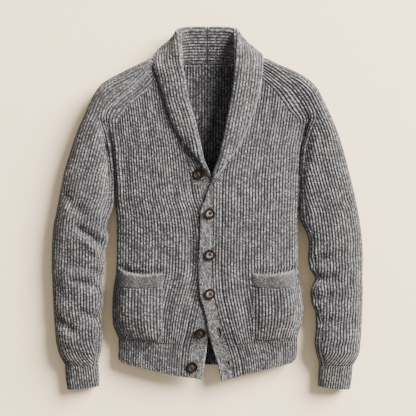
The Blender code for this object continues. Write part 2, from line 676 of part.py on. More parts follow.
STRIP_LEFT = [
    (0, 304.6, 7, 0, 380.7, 29, 0, 333.5, 3, 6, 0),
    (37.3, 305, 9, 37.3, 380.1, 30, 43.6, 339.8, 3, 6, 0),
    (64.6, 305.8, 16, 60.4, 373.4, 38, 79.3, 350.3, 6, 6, 0),
    (79.5, 308.3, 30, 61, 350.3, 50, 107.6, 330.6, 20, 5.5, 0),
    (88, 306.2, 40, 60.4, 323, 56, 117.1, 319.5, 40, 5.5, 0),
    (86.3, 285.2, 0, 59.1, 295.7, 58, 116.2, 295.7, 51.5, 5, 0),
    (81.4, 262.1, 0, 57.4, 270.5, 58, 113.5, 270.5, 54, 5, 0),
    (75.1, 228.5, 0, 52, 234.8, 58, 107.2, 234.8, 56, 5, 0),
    (62.5, 176, 0, 42.5, 182.3, 59.5, 89.8, 180.2, 58.6, 5, 0),
    (50.9, 131.9, 0, 32.2, 131.9, 62, 67.7, 131.9, 60.8, 5, 0),
    (42.5, 102.5, 0, 25.7, 104.6, 63.2, 47.8, 104.6, 62.6, 4.5, 0),
    (35.2, 79.4, 0, 15.4, 79.4, 62.8, 29.9, 79.4, 63.8, 3.6, 0),
    (31.6, 58.4, 0, 9.1, 58.4, 57.6, 9.1, 58.4, 57.6, 0, 2),
    (31.2, 42.8, 0, 2.8, 42.8, 0, 2.8, 42.8, 0, 0, 2),
    (30.8, 18.5, 0, -5.6, 18.5, 0, -5.6, 18.5, 0, 0, 1),
    (30.6, -5.2, 0, -14.4, -5.2, 0, -14.4, -5.2, 0, 0, 0),
    (29.7, -65.5, 0, -16.3, -65.5, 0, -16.3, -65.5, 0, 0, 0),
    (28.7, -118, 0, -18.6, -118, 0, -18.6, -118, 0, 0, 0),
    (31.4, -170.5, 0, -16.5, -170.5, 0, -16.5, -170.5, 0, 0, 0),
    (37.7, -203.7, 0, -8.9, -203.7, 0, -8.9, -203.7, 0, 0, 0),
    (43.6, -227.9, 0, -2.6, -227.9, 0, -2.6, -227.9, 0, 0, 0),
    (51.3, -254.5, 0, 2, -254.5, 0, 2, -254.5, 0, 0, 0),
    (62.9, -291.5, 0, 11.4, -291.5, 0, 11.4, -291.5, 0, 0, 0),
    (70, -316.9, 0, 19.2, -316.9, 0, 19.2, -316.9, 0, 0, 0),
    (74.7, -348.5, 0, 29.5, -360, 0, 29.5, -360, 0, 0, 0),
]
POCKET_INNER = 93.0  # u of the pocket's inner edge
POCKET_OUTER = 12.0  # the pocket's outer edge, from the side seam round the front
POCKET_FOOT = -270.0
POCKET_MOUTH = -128.0
POCKET_PUFF = 9.5
HOLE_LENGTH = 18.0
HOLE_WIDTH = 2.0
# y and distance from the band's seam
BUTTONHOLES = [(-9.7, 24.8), (-94.9, 23.2), (-176.2, 26), (-254.2, 25), (-325.2, 26)]

RIGHT = Half("right", -1, -2.5, 12, SIDE_RIGHT, RAGLAN_RIGHT, TUBE_RIGHT, STRIP_RIGHT)
LEFT = Half("left", 1, 2.5, 12, SIDE_LEFT, RAGLAN_LEFT, TUBE_LEFT, STRIP_LEFT)
BUTTONS = [
    (RIGHT, 71.8, 19), (LEFT, -9.7, 24.8), (LEFT, -94.9, 23.2), (LEFT, -176.2, 26), (RIGHT, -257, 29.5),
    (RIGHT, -329.7, 24),
]


# ---- the garment ----------------------------------------------------------------------------------

for old in list(bpy.data.objects):
    bpy.data.objects.remove(old)
PARTS = bpy.data.collections.new("shawl_collar_cardigan")
CUTTERS = bpy.data.collections.new("cutters")
for group in (PARTS, CUTTERS):
    bpy.context.scene.collection.children.link(group)

MATERIALS = {}
for slot, colour, rough in (
    ("wool_body", (0.21, 0.205, 0.205), 0.95), ("wool_trim", (0.25, 0.245, 0.245), 0.95),
    ("horn", (0.03, 0.017, 0.012), 0.35),
):
    material = bpy.data.materials.new(slot)
    material.use_nodes = True
    shader = material.node_tree.nodes["Principled BSDF"]
    shader.inputs["Base Color"].default_value = (*colour, 1)
    shader.inputs["Roughness"].default_value = rough
    MATERIALS[slot] = material


def mouth(across):
    return POCKET_MOUTH - 12 * np.sin(math.pi * across) ** 0.8


def rib_foot(across):
    return -161 - 4 * np.sin(math.pi * across)


SLEEVE_LEVELS = (73.1, 15, -38, -60, -98, -125, -150, -190, -228, -285, -329.7)
CUFF_LEVELS = (-330, -350, -374)

neck = sorted((row[7] for row in RAGLAN_RIGHT[1:]), reverse=False)
build_back("back_panel", [HEM_TOP + GAP, -200, -100, 0, 40] + neck + [304.2], "wool_body")
build_back("hem_back", [-331, *sorted(HEM_ROWS)], "wool_trim")
for half in (RIGHT, LEFT):
    last = len(half.raglan) - 1
    build_front(half)
    build_hem_front(half)
    tube = [last + (UNDERARM - y) / 100 for y in SLEEVE_LEVELS]
    build_tube("sleeve_" + half.name, half, list(range(last)) + tube, BODY_PITCH, "wool_body")
    tube = [last + (UNDERARM - y) / 100 for y in CUFF_LEVELS]
    build_tube("cuff_" + half.name, half, tube, TRIM_PITCH, "wool_trim")
    build_strip(half, "collar_", half.nodes[:JOIN] + [half.nodes[JOIN] - 0.01])
    band = build_strip(half, "band_", [half.nodes[JOIN] + 0.01] + half.nodes[JOIN + 1 :])
    if half is LEFT:
        cut_buttonholes(band)
    build_pocket(
        half, "pocket_" + half.name, lambda s: POCKET_FOOT + 0 * s, lambda s: rib_foot(s) - GAP,
        (0, 0.12, 0.35, 0.68, 1), BODY_PITCH, WALL, "wool_body",
    )
    build_pocket(
        half, "pocket_rib_" + half.name, rib_foot, mouth, (0, 0.5, 1), TRIM_PITCH, WALL + 0.8, "wool_trim",
    )
build_buttons()
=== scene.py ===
"""Shawl collar cardigan in marled grey fisherman's rib, buttoned at the middle and laid face up.

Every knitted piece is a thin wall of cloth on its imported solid, with the rib raised in its points by one
Geometry Nodes tree. Sizes are in millimetres until a mesh is made; u runs out from the centre front of
each half, y up to the collar and z off the floor.
"""

import logging
import math
from dataclasses import dataclass, field
from enum import Enum
from typing import Callable

import bpy
import numpy as np
from bpy.types import ID, Material, Node, NodeSocket, NodeTree, Object
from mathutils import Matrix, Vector

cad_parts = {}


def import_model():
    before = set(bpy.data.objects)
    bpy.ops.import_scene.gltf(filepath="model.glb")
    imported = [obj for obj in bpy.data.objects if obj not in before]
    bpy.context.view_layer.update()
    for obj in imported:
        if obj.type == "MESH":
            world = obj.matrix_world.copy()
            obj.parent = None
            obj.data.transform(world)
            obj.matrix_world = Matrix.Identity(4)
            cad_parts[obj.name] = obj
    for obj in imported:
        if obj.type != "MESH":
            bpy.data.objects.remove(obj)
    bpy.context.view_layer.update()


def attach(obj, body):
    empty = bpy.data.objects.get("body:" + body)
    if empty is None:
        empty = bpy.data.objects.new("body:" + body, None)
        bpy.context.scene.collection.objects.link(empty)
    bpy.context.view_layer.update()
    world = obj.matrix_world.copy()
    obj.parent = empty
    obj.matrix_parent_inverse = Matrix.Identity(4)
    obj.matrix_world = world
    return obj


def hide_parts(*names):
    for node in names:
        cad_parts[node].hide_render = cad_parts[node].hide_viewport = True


log = logging.getLogger("cardigan")

Spread = np.ndarray | float  # a value for each place, or one for all
Pair = tuple[np.ndarray, np.ndarray]

MATH = "ShaderNodeMath"

WALL = 2.8  # thickness of the knit
GAP = 0.3  # between neighbouring pieces
NECK_GAP = 0.9  # the same beside the collar
RIB = 1.2  # left free for the ribs under a piece
RELIEF = 1.6  # height of a rib
BODY_PITCH = 6.2  # from rib to rib on the body
TRIM_PITCH = 5.1  # on hems, cuffs and pocket tops
STRIP_PITCH = 6.1  # on the collar and band
COURSE = 3.0  # from one course of stitches to the next
COLUMNS = 6  # columns of points to a rib
HOLE_SIDES = 16  # points round a button's hole
ROW = 3.4  # from one row of points to the next
CLOSE_ROWS = (0.4, 1.0, 2.0)  # from a rounded edge to the rows beside it
YOKE = 188.6  # above this the ribs of a front run out into the raglan
UNDERARM = 73.1
BAND_TOP = 60.0
HEM_TOP = -276.0
HEM_FOOT = -322.0
HEM_SLOPE = 0.22  # how the fronts drop towards the centre
RIB_LEAN = 0.6  # how far the ribs of a front lean with its neckline
CROWN = 2.7  # how square the body's section is
CREASE_GAIN = 1.3
FLAT_FROM = 12  # the strip's station from which it lies flat as the band
FOLD_SHUTS = 11.2  # the strip's station where the lapel's fold starts to shut
POCKET_INNER = 93.0
MOUTH_TILT = 7  # how much higher one corner of a pocket's mouth is
MOUTH_DIP = 9  # how far the mouth dips at its middle

# y, height of the body, exponent of its edge
BODY = [
    (-370, 40, 0.5), (-326, 41, 0.5), (-284, 43.5, 0.5), (-268, 49, 0.5), (-250, 54, 0.5), (-215, 57, 0.5),
    (-120, 56, 0.5), (0, 57, 0.5), (73.1, 56, 0.5), (120, 55, 0.5), (158, 54, 0.62), (188.6, 52.5, 0.8),
    (218, 51, 1.0), (250, 50, 1.0), (285, 48, 1.0), (310, 45, 1.0),
]
# y, u of the side seam
SIDE_RIGHT = [
    (-370, 184), (-326, 184), (-315, 187.4), (-296, 186.2), (-272, 186.5), (-256, 193.1), (-237, 198.1),
    (-208, 198.8), (-170, 196.9), (-135, 191.2), (-97, 189.3), (-24, 189.3), (4, 191.6), (34, 193.7),
    (73.1, 194.8),
]
SIDE_LEFT = [
    (-370, 184), (-326, 184), (-315, 187.6), (-296, 189.6), (-272, 189.5), (-256, 192), (-238, 198.1),
    (-208, 200.9), (-170, 194.8), (-135, 190.6), (-97, 189.5), (-24, 189.9), (4, 191.4), (34, 192.7),
    (73.1, 193.3),
]
# Raglan stations from the neck down: front seam u, y, z; outer fold u, y, z; back seam u, y, z; height
RAGLAN_RIGHT = [
    (91.9, 307.2, 41, 83.5, 309.3, 30, 65.6, 305.1, 15, 42),
    (116, 291.5, 46, 114.3, 313.9, 24, 82.4, 274.7, 2, 47),
    (137, 270.5, 48, 146.7, 301.6, 24, 97.1, 247.4, 0, 49),
    (157.4, 249.1, 49, 179.9, 285.4, 25, 111.8, 220.1, 0, 50),
    (179, 232.7, 49, 204.4, 272.6, 25, 127.6, 192.8, 0, 51),
    (196.9, 218, 48, 221.7, 260.8, 25, 141.2, 167.6, 0, 51.5),
    (208.5, 203.3, 46, 239.9, 234.8, 25, 152.8, 146.6, 0, 51.5),
    (212.1, 188.6, 44, 258.8, 192.8, 25, 163.3, 127.7, 1, 51),
    (206.2, 158.1, 38, 274.2, 157.1, 25, 174.8, 106.7, 4, 51),
    (198.3, 119.7, 34, 287, 119.7, 25, 186.4, 87.8, 12, 50),
    (194.8, 73.1, 28, 301, 73.1, 25, 194.8, 73.1, 26, 50),
]
RAGLAN_LEFT = [
    (90.8, 307.2, 41, 82.4, 309.3, 30, 65.6, 305.1, 15, 42),
    (119.2, 291.5, 46, 119, 315.4, 24, 82.4, 274.7, 2, 47),
    (136, 279.9, 48, 147.5, 303.4, 24, 96.1, 247.4, 0, 49),
    (154.9, 265.2, 49, 179, 289.8, 25, 110.8, 220.1, 0, 50),
    (175.9, 247.4, 49, 207.4, 274.7, 25, 126.5, 192.8, 0, 51),
    (191.6, 227.4, 48, 229.4, 253.7, 25, 140.2, 167.6, 0, 51.5),
    (204.3, 208.5, 46, 243.1, 228.5, 25, 151.7, 146.6, 0, 51.5),
    (212.9, 188.6, 41, 259.9, 192.8, 25, 162.2, 127.7, 1, 51),
    (206.2, 158.1, 31, 274.6, 157.1, 25, 173.8, 106.7, 4, 51),
    (196.2, 119.7, 28, 286.1, 119.7, 25, 184.3, 87.8, 12, 50),
    (193.3, 73.1, 26, 298.3, 73.1, 25, 193.3, 73.1, 26, 50),
]
# Sleeve and cuff: y, inner u, outer u, height
TUBE_RIGHT = [
    (73.1, 195.4, 301, 50), (35.3, 195, 308.1, 51), (5.9, 196, 314.3, 52), (-8.8, 202.4, 317, 52),
    (-38.2, 211.4, 323.4, 49), (-59.2, 206.5, 325, 50), (-78.1, 209.9, 326.2, 51),
    (-98.3, 217.9, 326.6, 49), (-124.3, 213.9, 326.9, 50), (-151.6, 221, 325.6, 48),
    (-181, 216.9, 324.2, 48), (-202, 218.7, 323.4, 48), (-228.5, 225.2, 322.2, 45),
    (-250.3, 219.7, 320.1, 47), (-277.6, 220.7, 317.8, 47), (-300.7, 223.5, 312.9, 45),
    (-317.5, 228.4, 305.4, 40), (-330, 229.4, 299.3, 34), (-353, 228, 297, 32), (-374, 227.3, 294, 31),
]
TUBE_LEFT = [
    (73.1, 193.9, 298.3, 50), (35.3, 194.2, 307.7, 51), (5.9, 193.8, 314.3, 52), (-23.5, 195.5, 320.1, 50),
    (-47.7, 207, 323.4, 50), (-71.8, 212.8, 325.6, 51), (-103.3, 211.7, 327.1, 48),
    (-124.3, 214.1, 326.6, 50), (-146.6, 226.3, 326.3, 46), (-172.6, 216.6, 326.9, 49),
    (-194.7, 217.9, 326.6, 46), (-216.3, 226.3, 326, 47), (-247.8, 228.4, 324.7, 45),
    (-279.1, 225, 322.4, 47), (-300.7, 228.4, 320.1, 45), (-317.5, 233.6, 313.2, 40),
    (-330, 235.5, 306.8, 34), (-353, 234.3, 303.4, 32), (-374, 233.4, 300.1, 31),
]


def flat_rows(*rows: tuple[float, float, float]) -> list[tuple]:
    """Stations of the flat band from seam u, edge u and y."""
    return [(seam, y, 0, edge, y, 0, edge, y, 0, 0, 0) for seam, edge, y in rows]


# Collar and band from centre back down: seam u, y, z; roll u, y, z; free edge u, y, z; fold, dome.
# Heights of 0 follow the front.
STRIP_RIGHT = [
    (0, 304.6, 7, 0, 380.7, 29, 0, 333.5, 3, 6, 0),
    (36.2, 305, 9, 36.2, 380.1, 30, 42.5, 339.8, 3, 6, 0),
    (64.6, 305.8, 16, 60.4, 373.4, 38, 78.2, 350.3, 6, 6, 0),
    (80.5, 308.3, 30, 58.3, 350.3, 50, 107.6, 330, 20, 5.5, 0),
    (89, 306.2, 40, 56.2, 323, 56, 112.7, 318.7, 40, 5.5, 0),
    (86.6, 285.2, 0, 53, 295.7, 58, 111.2, 295.7, 51.5, 5, 0),
    (80.3, 262.1, 0, 47.8, 270.5, 58, 102.4, 270.5, 54, 5, 0),
    (74, 228.5, 0, 42.5, 234.8, 58, 90.8, 234.8, 56, 5, 0),
    (61.4, 176, 0, 26.8, 182.3, 59, 71.9, 176, 58, 5, 0),
    (49.9, 131.9, 0, 15.2, 131.9, 59.5, 45.5, 131.9, 58.5, 5, 0),
    (42.5, 102.5, 0, 9.3, 104.6, 59, 20.5, 103.5, 59, 4, 0),
    (36.9, 71.8, 0, -4.5, 72.2, 58, 0.1, 71.4, 59.5, 2.6, 0),
    (35, 56.3, 0, -8.9, 56.3, 52.6, -8.9, 56.3, 52.6, 0, 0),
    *flat_rows(
        (31.2, -12.1, 35.3), (27.2, -16.3, 16.4), (18.4, -24.7, -8.8), (11, -31.6, -65.5),
        (12.1, -31, -124.3), (23.6, -19.4, -174.7), (31.8, -13.1, -204.1), (38.1, -7.9, -231.4),
        (43.2, -3.7, -256.6), (50.1, -0.1, -283.9), (53.9, 4.3, -317.5),
    ),
    (56, -350.6, 0, 11.5, -357.2, 0, 11.5, -357.2, 0, 0, 0),
]
STRIP_LEFT = [
    (0, 304.6, 7, 0, 380.7, 29, 0, 333.5, 3, 6, 0),
    (37.3, 305, 9, 37.3, 380.1, 30, 43.6, 339.8, 3, 6, 0),
    (64.6, 305.8, 16, 60.4, 373.4, 38, 79.3, 350.3, 6, 6, 0),
    (79.5, 308.3, 30, 61, 350.3, 50, 107.6, 330.6, 20, 5.5, 0),
    (88, 306.2, 40, 60.4, 323, 56, 117.1, 319.5, 40, 5.5, 0),
    (86.3, 285.2, 0, 59.1, 295.7, 58, 116.2, 295.7, 51.5, 5, 0),
    (81.4, 262.1, 0, 57.4, 270.5, 58, 113.5, 270.5, 54, 5, 0),
    (75.1, 228.5, 0, 52, 234.8, 58, 107.2, 234.8, 56, 5, 0),
    (62.5, 176, 0, 42.5, 182.3, 59.5, 89.8, 180.2, 58.6, 5, 0),
    (50.9, 131.9, 0, 32.2, 131.9, 62, 67.7, 131.9, 60.8, 5, 0),
    (42.5, 102.5, 0, 25.7, 104.6, 63.2, 47.8, 104.6, 62.6, 4.5, 0),
    (35.2, 79.4, 0, 15.4, 79.4, 62.8, 29.9, 79.4, 63.8, 3.6, 0),
    (31.6, 58.4, 0, 9.1, 58.4, 57.6, 9.1, 58.4, 57.6, 0, 2),
    (31.2, 42.8, 0, 2.8, 42.8, 0, 2.8, 42.8, 0, 0, 2),
    (30.8, 18.5, 0, -5.6, 18.5, 0, -5.6, 18.5, 0, 0, 1),
    *flat_rows(
        (30.6, -14.4, -5.2), (29.7, -16.3, -65.5), (28.7, -18.6, -118), (31.4, -16.5, -170.5),
        (37.7, -8.9, -203.7), (43.6, -2.6, -227.9), (51.3, 2, -254.5), (62.9, 11.4, -291.5),
        (70, 19.2, -316.9),
    ),
    (74.7, -348.5, 0, 29.5, -360, 0, 29.5, -360, 0, 0, 0),
]
# Creases: x, y of one end; x, y of the other; depth (a ridge if negative); width
CREASES = [
    (-276, -38, -216, -76, 8.5, 10), (-268, -58, -222, -92, -3.5, 11), (-290, -116, -214, -136, 5.5, 11),
    (-280, -150, -217, -168, 5.0, 10), (-324, -228, -272, -258, 7.5, 10), (-270, -212, -219, -234, 5.5, 10),
    (-306, 34, -250, -18, 5.5, 15), (-224, 190, -209, 120, 6.5, 10), (-211, 132, -204, 60, 8.0, 11),
    (-205, 70, -206, -14, 6.0, 11), (-204, 172, -188, 100, -4.5, 10), (-188, 112, -184, 14, -4.5, 10),
    (-176, 84, -192, 20, 3.5, 13), (-300, -290, -256, -308, 4.0, 9), (-322, -150, -296, -190, 3.5, 12),
    (-312, -70, -290, -110, 2.5, 14), (248, -96, 210, -126, 8.0, 10), (268, -140, 218, -150, 5.0, 10),
    (262, -174, 212, -196, 7.5, 10), (262, -228, 224, -246, 6.0, 10), (306, -222, 262, -268, 4.5, 12),
    (214, 150, 199, 60, 4.0, 8), (298, 26, 226, -30, 5.5, 14), (176, 84, 192, 20, 3.0, 13),
    (264, -292, 308, -282, 4.0, 9), (322, -60, 300, -110, 2.5, 14), (300, -150, 280, -176, 2.5, 12),
    (26, -46, 150, -60, 1.2, 16), (-40, -50, -150, -66, 1.2, 16), (60, 20, 130, 60, 1.6, 24),
    (-60, 8, -140, 66, 1.6, 24), (70, -110, 86, -250, 2.2, 15), (-72, -112, -88, -250, 2.2, 15),
    (-30, 50, -33, -60, 3.8, 10), (-33, -50, -33, -190, 4.0, 10), (-27, -175, -16, -262, 3.4, 9),
    (-120, 300, -104, 232, 0.8, 12), (-106, 240, -83, 172, 0.8, 12), (-87, 184, -59, 128, 0.8, 11),
    (-63, 138, -31, 92, 1.4, 10), (120, 262, 102, 176, 2.0, 9), (100, 182, 50, 96, 2.2, 9),
]


def unit(v: np.ndarray) -> np.ndarray:
    """Vectors of length one."""
    return v / np.maximum(np.linalg.norm(v, axis=-1, keepdims=True), 1e-12)


def step(x: Spread) -> np.ndarray:
    """A smooth rise from 0 to 1."""
    x = np.clip(x, 0, 1)
    return x * x * (3 - 2 * x)


def along(path: np.ndarray, d: np.ndarray) -> np.ndarray:
    """Points at the distances d along a path of points."""
    arc = np.concatenate([[0], np.cumsum(np.linalg.norm(np.diff(path, axis=0), axis=1) + 1e-9)])
    return np.stack([np.interp(d, arc, path[:, i]) for i in range(3)], axis=-1)


def travel(path: np.ndarray) -> np.ndarray:
    """Distances along a path to each of its points."""
    return np.concatenate([[0], np.cumsum(np.linalg.norm(np.diff(path, axis=0), axis=1))])


def length(path: np.ndarray) -> float:
    """The length of a path of points."""
    return float(np.linalg.norm(np.diff(path, axis=0), axis=1).sum())


def crease(x: np.ndarray, y: np.ndarray) -> np.ndarray:
    """How far creases and the slight unevenness of a garment laid by hand move the cloth up.

    Args:
        x: places across the garment.
        y: places along it.

    Returns:
        The rise at each place.
    """
    rise = 0.5 * np.sin(x / 23 + y / 61) * np.sin(y / 37 - x / 90) + 0.4 * np.sin(x / 51 - y / 29 + 1)
    for x0, y0, x1, y1, depth, width in CREASES:
        dx, dy = x1 - x0, y1 - y0
        span = dx * dx + dy * dy
        t = ((x - x0) * dx + (y - y0) * dy) / span
        off = ((x - x0) * dy - (y - y0) * dx) / math.sqrt(span)
        off = off + 0.12 * width * np.sin(t * 5)
        fade = np.exp(-(np.clip(np.abs(t - 0.5) - 0.3, 0, 9) ** 2) / 0.045)
        across = np.exp(-((off / width) ** 2)) - 0.35 * np.exp(-((off / width / 2) ** 2))
        rise = rise - CREASE_GAIN * depth * fade * across
    return rise


class Curve:
    """A smooth curve that never overshoots, through the rows of a table, by their first column."""

    def __init__(self, rows: list) -> None:
        """Makes the curve.

        Args:
            rows: the table.
        """
        data = np.array(sorted(rows), float)
        self.x, self.v = data[:, 0], data[:, 1:]
        self.h = np.diff(self.x)[:, None]
        slope = np.diff(self.v, axis=0) / self.h
        same = slope[:-1] * slope[1:] > 0
        mean = 2 * slope[:-1] * slope[1:] / np.where(same, slope[:-1] + slope[1:], 1)
        self.m = np.vstack([slope[:1], np.where(same, mean, 0), slope[-1:]])

    def __call__(self, x: Spread) -> np.ndarray:
        """Reads the curve between the table's own rows.

        Args:
            x: a value of the first column.

        Returns:
            The other columns there.
        """
        x = np.clip(np.asarray(x, float), self.x[0], self.x[-1])
        i = np.clip(np.searchsorted(self.x, x) - 1, 0, len(self.h) - 1)
        h = self.h[i]
        t = (x[..., None] - self.x[i][..., None]) / h
        a, b = self.v[i], self.v[i + 1]
        ma, mb = self.m[i] * h, self.m[i + 1] * h
        return a + t * (ma + t * (3 * (b - a) - 2 * ma - mb + t * (2 * (a - b) + ma + mb)))


BODY_LINE = Curve(BODY)


@dataclass
class Half:
    """One side of the garment: the surfaces that its pieces lie on.

    Args:
        name: right or left, as worn.
        sign: 1 where u runs along x, -1 where it runs against it.
        lift: how far lapping fronts stand over or under each other.
        side_rows: y and u of the side seam.
        raglan_rows: stations of the raglan seams from the neck down.
        tube_rows: y, inner u, outer u and height of the sleeve.
        strip_rows: stations of the collar and band strip.
    """

    name: str
    sign: int
    lift: float
    side_rows: list
    raglan_rows: list
    tube_rows: list
    strip_rows: list
    full: float = field(default=0.0, init=False)

    def __post_init__(self) -> None:
        """Makes the curves through the tables."""
        self.side = Curve(self.side_rows)
        self.last = len(self.raglan_rows) - 1
        self.raglan = Curve([(i, *row) for i, row in enumerate(self.raglan_rows)])
        self.tube = Curve(self.tube_rows)
        self.strip = Curve([(i, *row) for i, row in enumerate(self.strip_rows)])
        self.edge = self.raglan(np.linspace(self.last, 0, 500))
        fine = np.linspace(4, len(self.strip_rows) - 1, 900)
        self.fine = np.column_stack([fine, self.strip(fine)[:, :2]])
        self.full = length(self.front_path(YOKE))

    def seam_u(self, y: Spread) -> np.ndarray:
        """The seam of collar and band with the front, at this height."""
        return np.interp(-np.asarray(y, float), -self.fine[:, 2], self.fine[:, 1])

    def station(self, y: float) -> float:
        """The station of the strip whose seam is at this height."""
        return float(np.interp(-y, -self.fine[:, 2], self.fine[:, 0]))

    def front_edge(self, y: float) -> tuple[float, float]:
        """The front's outer edge: side seam, then raglan seam.

        Args:
            y: the height.

        Returns:
            Its u and z.
        """
        if y <= UNDERARM:
            return float(self.side(y)[0]), float(BODY_LINE(y)[0]) / 2 + GAP / 2
        edge = self.edge
        return float(np.interp(y, edge[:, 1], edge[:, 0])), float(np.interp(y, edge[:, 1], edge[:, 2]))

    def front_height(self, u: np.ndarray, y: float) -> np.ndarray:
        """Height of the front's outer face.

        Args:
            u: where across.
            y: the height.

        Returns:
            z there.
        """
        reach, low = self.front_edge(y)
        top, power = BODY_LINE(y)
        z = low + (top - low) * (1 - np.clip(np.abs(u) / reach, 0, 1) ** CROWN) ** power
        near = 1 - step((np.abs(u) - 35) / 70)
        z = z + self.lift * near * (1 - step((y - 90) / 90)) * (1 - 0.5 * step((-y - 300) / 60))
        # The front sinks a little behind the mouth of its pocket
        share = np.clip((reach - 6 - np.abs(u)) / (reach - 6 - POCKET_INNER), 0, 1)
        bow = np.sin(math.pi * share)
        lip = y + 121.5 + MOUTH_TILT * share + MOUTH_DIP * bow**0.8
        z = z - 5.5 * np.exp(-((lip / 6.0) ** 2)) * bow**0.4
        return z + crease(self.sign * np.asarray(u), y) * np.clip((reach - np.abs(u)) / 9, 0, 1)

    def sag(self, u: np.ndarray, y: float) -> np.ndarray:
        """How far the lower front drops towards the centre."""
        drop = HEM_SLOPE * (190 - np.clip(u, -20, 190))
        return drop * (0.25 * step((-y - 200) / 76) + 0.75 * step((HEM_TOP - y) / (HEM_TOP - HEM_FOOT)))

    def front_path(self, y: float) -> np.ndarray:
        """Section of the front from its inner seam to its outer edge.

        Args:
            y: the height.

        Returns:
            The points.
        """
        reach = self.front_edge(y)[0]
        level = min(y, BAND_TOP)
        inner = float(self.seam_u(level - self.sag(self.seam_u(level), level)))
        inner += RIB_LEAN * max(0.0, float(self.seam_u(y)) - inner) * (y > BAND_TOP)
        q = np.sin(np.linspace(0, math.pi / 2, 220))
        u = inner + (reach - inner) * q
        return np.stack([u, y - self.sag(u, y), self.front_height(u, y)], axis=-1)

    def front_point(self, a: np.ndarray, y: float) -> np.ndarray:
        """Points of the front.

        Args:
            a: shares of the way out.
            y: the height.

        Returns:
            The points.
        """
        path = self.front_path(y)
        reach = length(path)
        return along(path, np.clip(np.asarray(a) * (reach if y < YOKE else self.full), 0, reach))

    def front_limits(self, y: float) -> tuple[float, float]:
        """The shares at which this row starts and ends.

        Args:
            y: the height.

        Returns:
            The two shares.
        """
        path = self.front_path(y)
        full = length(path) if y < YOKE else self.full
        start = 0.0
        if y > BAND_TOP:
            start = float(np.interp(float(self.seam_u(y)), path[:, 0], travel(path)))
        gap = NECK_GAP if y > 195 else 0.45 if y > BAND_TOP else GAP
        return (start + gap) / full, length(path) / full

    def back_edge(self, y: float) -> tuple[float, float]:
        """The back's outer edge.

        Args:
            y: the height.

        Returns:
            Its u and z.
        """
        if y <= UNDERARM:
            return float(self.side(y)[0]), float(BODY_LINE(y)[0]) / 2 - GAP / 2
        edge = self.edge
        return (
            float(np.interp(y, edge[:, 7], edge[:, 6])) - GAP / 2,
            float(np.interp(y, edge[:, 7], edge[:, 8])),
        )

    def sleeve_path(self, b: float) -> Pair:
        """Two paths from the outer fold: over the top to the front seam, and under to the back seam.

        Args:
            b: raglan stations down to the underarm, then the tube's millimetres / 100 on.

        Returns:
            Both paths.
        """
        if b < self.last:
            row = self.raglan(b)
            front, outer, crest = row[0:3], row[3:6], row[9]
            rear = row[6:9] + (GAP / 2, 0, 0)
        else:
            y = UNDERARM - (b - self.last) * 100.0
            inner, out, crest = self.tube(y)
            slant = 0.11 * (out - inner) * step((-330 - y) / 30)
            lean = 0.12 * step((60 - y) / 80) * (1 - step((-280 - y) / 60))
            outer = np.array([out, y - slant, crest * (0.48 - lean)])
            front = rear = np.array([inner, y, crest * (0.5 + lean)])
        upright = step((b - 4) / 3)
        q = (1 - np.cos(np.linspace(0, math.pi, 120))) / 2
        rise = np.where(
            q < 0.5,
            outer[2] + (crest - outer[2]) * np.sqrt(1 - np.clip((0.5 - q) / 0.5, 0, 1) ** 2.6),
            front[2]
            + (crest - front[2]) * (1 - np.clip((q - 0.5) / 0.5, 0, 1) ** 3) ** (1 - 0.5 * upright),
        )
        over = outer + q[:, None] * (front - outer)
        flat = max(0.0, 1 - b)
        over[:, 2] = flat * over[:, 2] + (1 - flat) * rise
        soft = np.clip(np.minimum(q, 1 - q) * 9, 0, 1) * np.clip((over[:, 2] - 14) / 16, 0, 1)
        over[:, 2] += crease(self.sign * over[:, 0], over[:, 1]) * soft
        under = outer + q[:, None] * (rear - outer)
        width = np.linalg.norm((rear - outer)[:2])
        turn = min(32.0, 0.45 * width)
        near = np.clip(1 - q * width / turn, 0, 1)
        far = np.clip(1 - (1 - q) * width / turn, 0, 1)
        fall = outer[2] * (1 - np.sqrt(1 - near**2)) + rear[2] * (1 - np.sqrt(1 - far**2))
        under[:, 2] = flat * under[:, 2] + (1 - flat) * fall
        return over, under

    def sleeve_point(self, d: np.ndarray, b: float) -> np.ndarray:
        """Points of the sleeve.

        Args:
            d: distances from the outer fold over the top, or under it if negative.
            b: the station.

        Returns:
            The points.
        """
        over, under = self.sleeve_path(b)
        d = np.asarray(d, float)
        top, low = along(over, np.maximum(d, 0)), along(under, np.maximum(-d, 0))
        return np.where(d[..., None] >= 0, top, low)

    def strip_legs(self, b: float) -> Pair:
        """Section of the collar and band through the middle of its wall.

        Args:
            b: the station.

        Returns:
            The paths from the roll to the seam and to the free edge.
        """
        row = self.strip(b)
        seam, roll, free, fold, dome = row[0:3].copy(), row[3:6].copy(), row[6:9].copy(), row[9], row[10]
        if b > 4:
            held = float(self.front_height(seam[0], seam[1])) - WALL / 2
            seam[2] += (held - seam[2]) * step(b - 4)
        if b >= FLAT_FROM:
            roll[2] = free[2] = float(self.front_height(roll[0], roll[1])) - WALL / 2
        ahead = self.strip(min(b + 0.05, self.strip.x[-1]))[3:6] - self.strip(max(b - 0.05, 0))[3:6]
        run = unit(roll - seam)
        seam = seam - (GAP, 0, 0) if b > 4.2 else seam + run * GAP
        away = unit(np.cross(run, unit(ahead)))
        turn = np.linspace(0, math.pi / 2, 16)[:, None]
        low, high = roll - fold * run - fold * away, roll - fold * run + fold * away
        stand = np.concatenate([low + fold * (np.cos(turn) * run + (1 - np.sin(turn)) * away), [seam]])
        fall = np.concatenate([high + fold * (np.cos(turn) * run - (1 - np.sin(turn)) * away), [free]])
        share = np.linspace(0, 1, 40)
        stand, fall = along(stand, share * length(stand)), along(fall, share * length(fall))
        stand[:, 2] += dome * 4 * share * (1 - share)
        fall[:, 2] += 3.6 * 4 * share * (1 - share) * step((b - 4.5) / 1.5) * (1 - step((b - 10.2) / 1.2))
        if b < 1e-6:
            stand[:, 0] = fall[:, 0] = GAP / 2
        return stand, fall

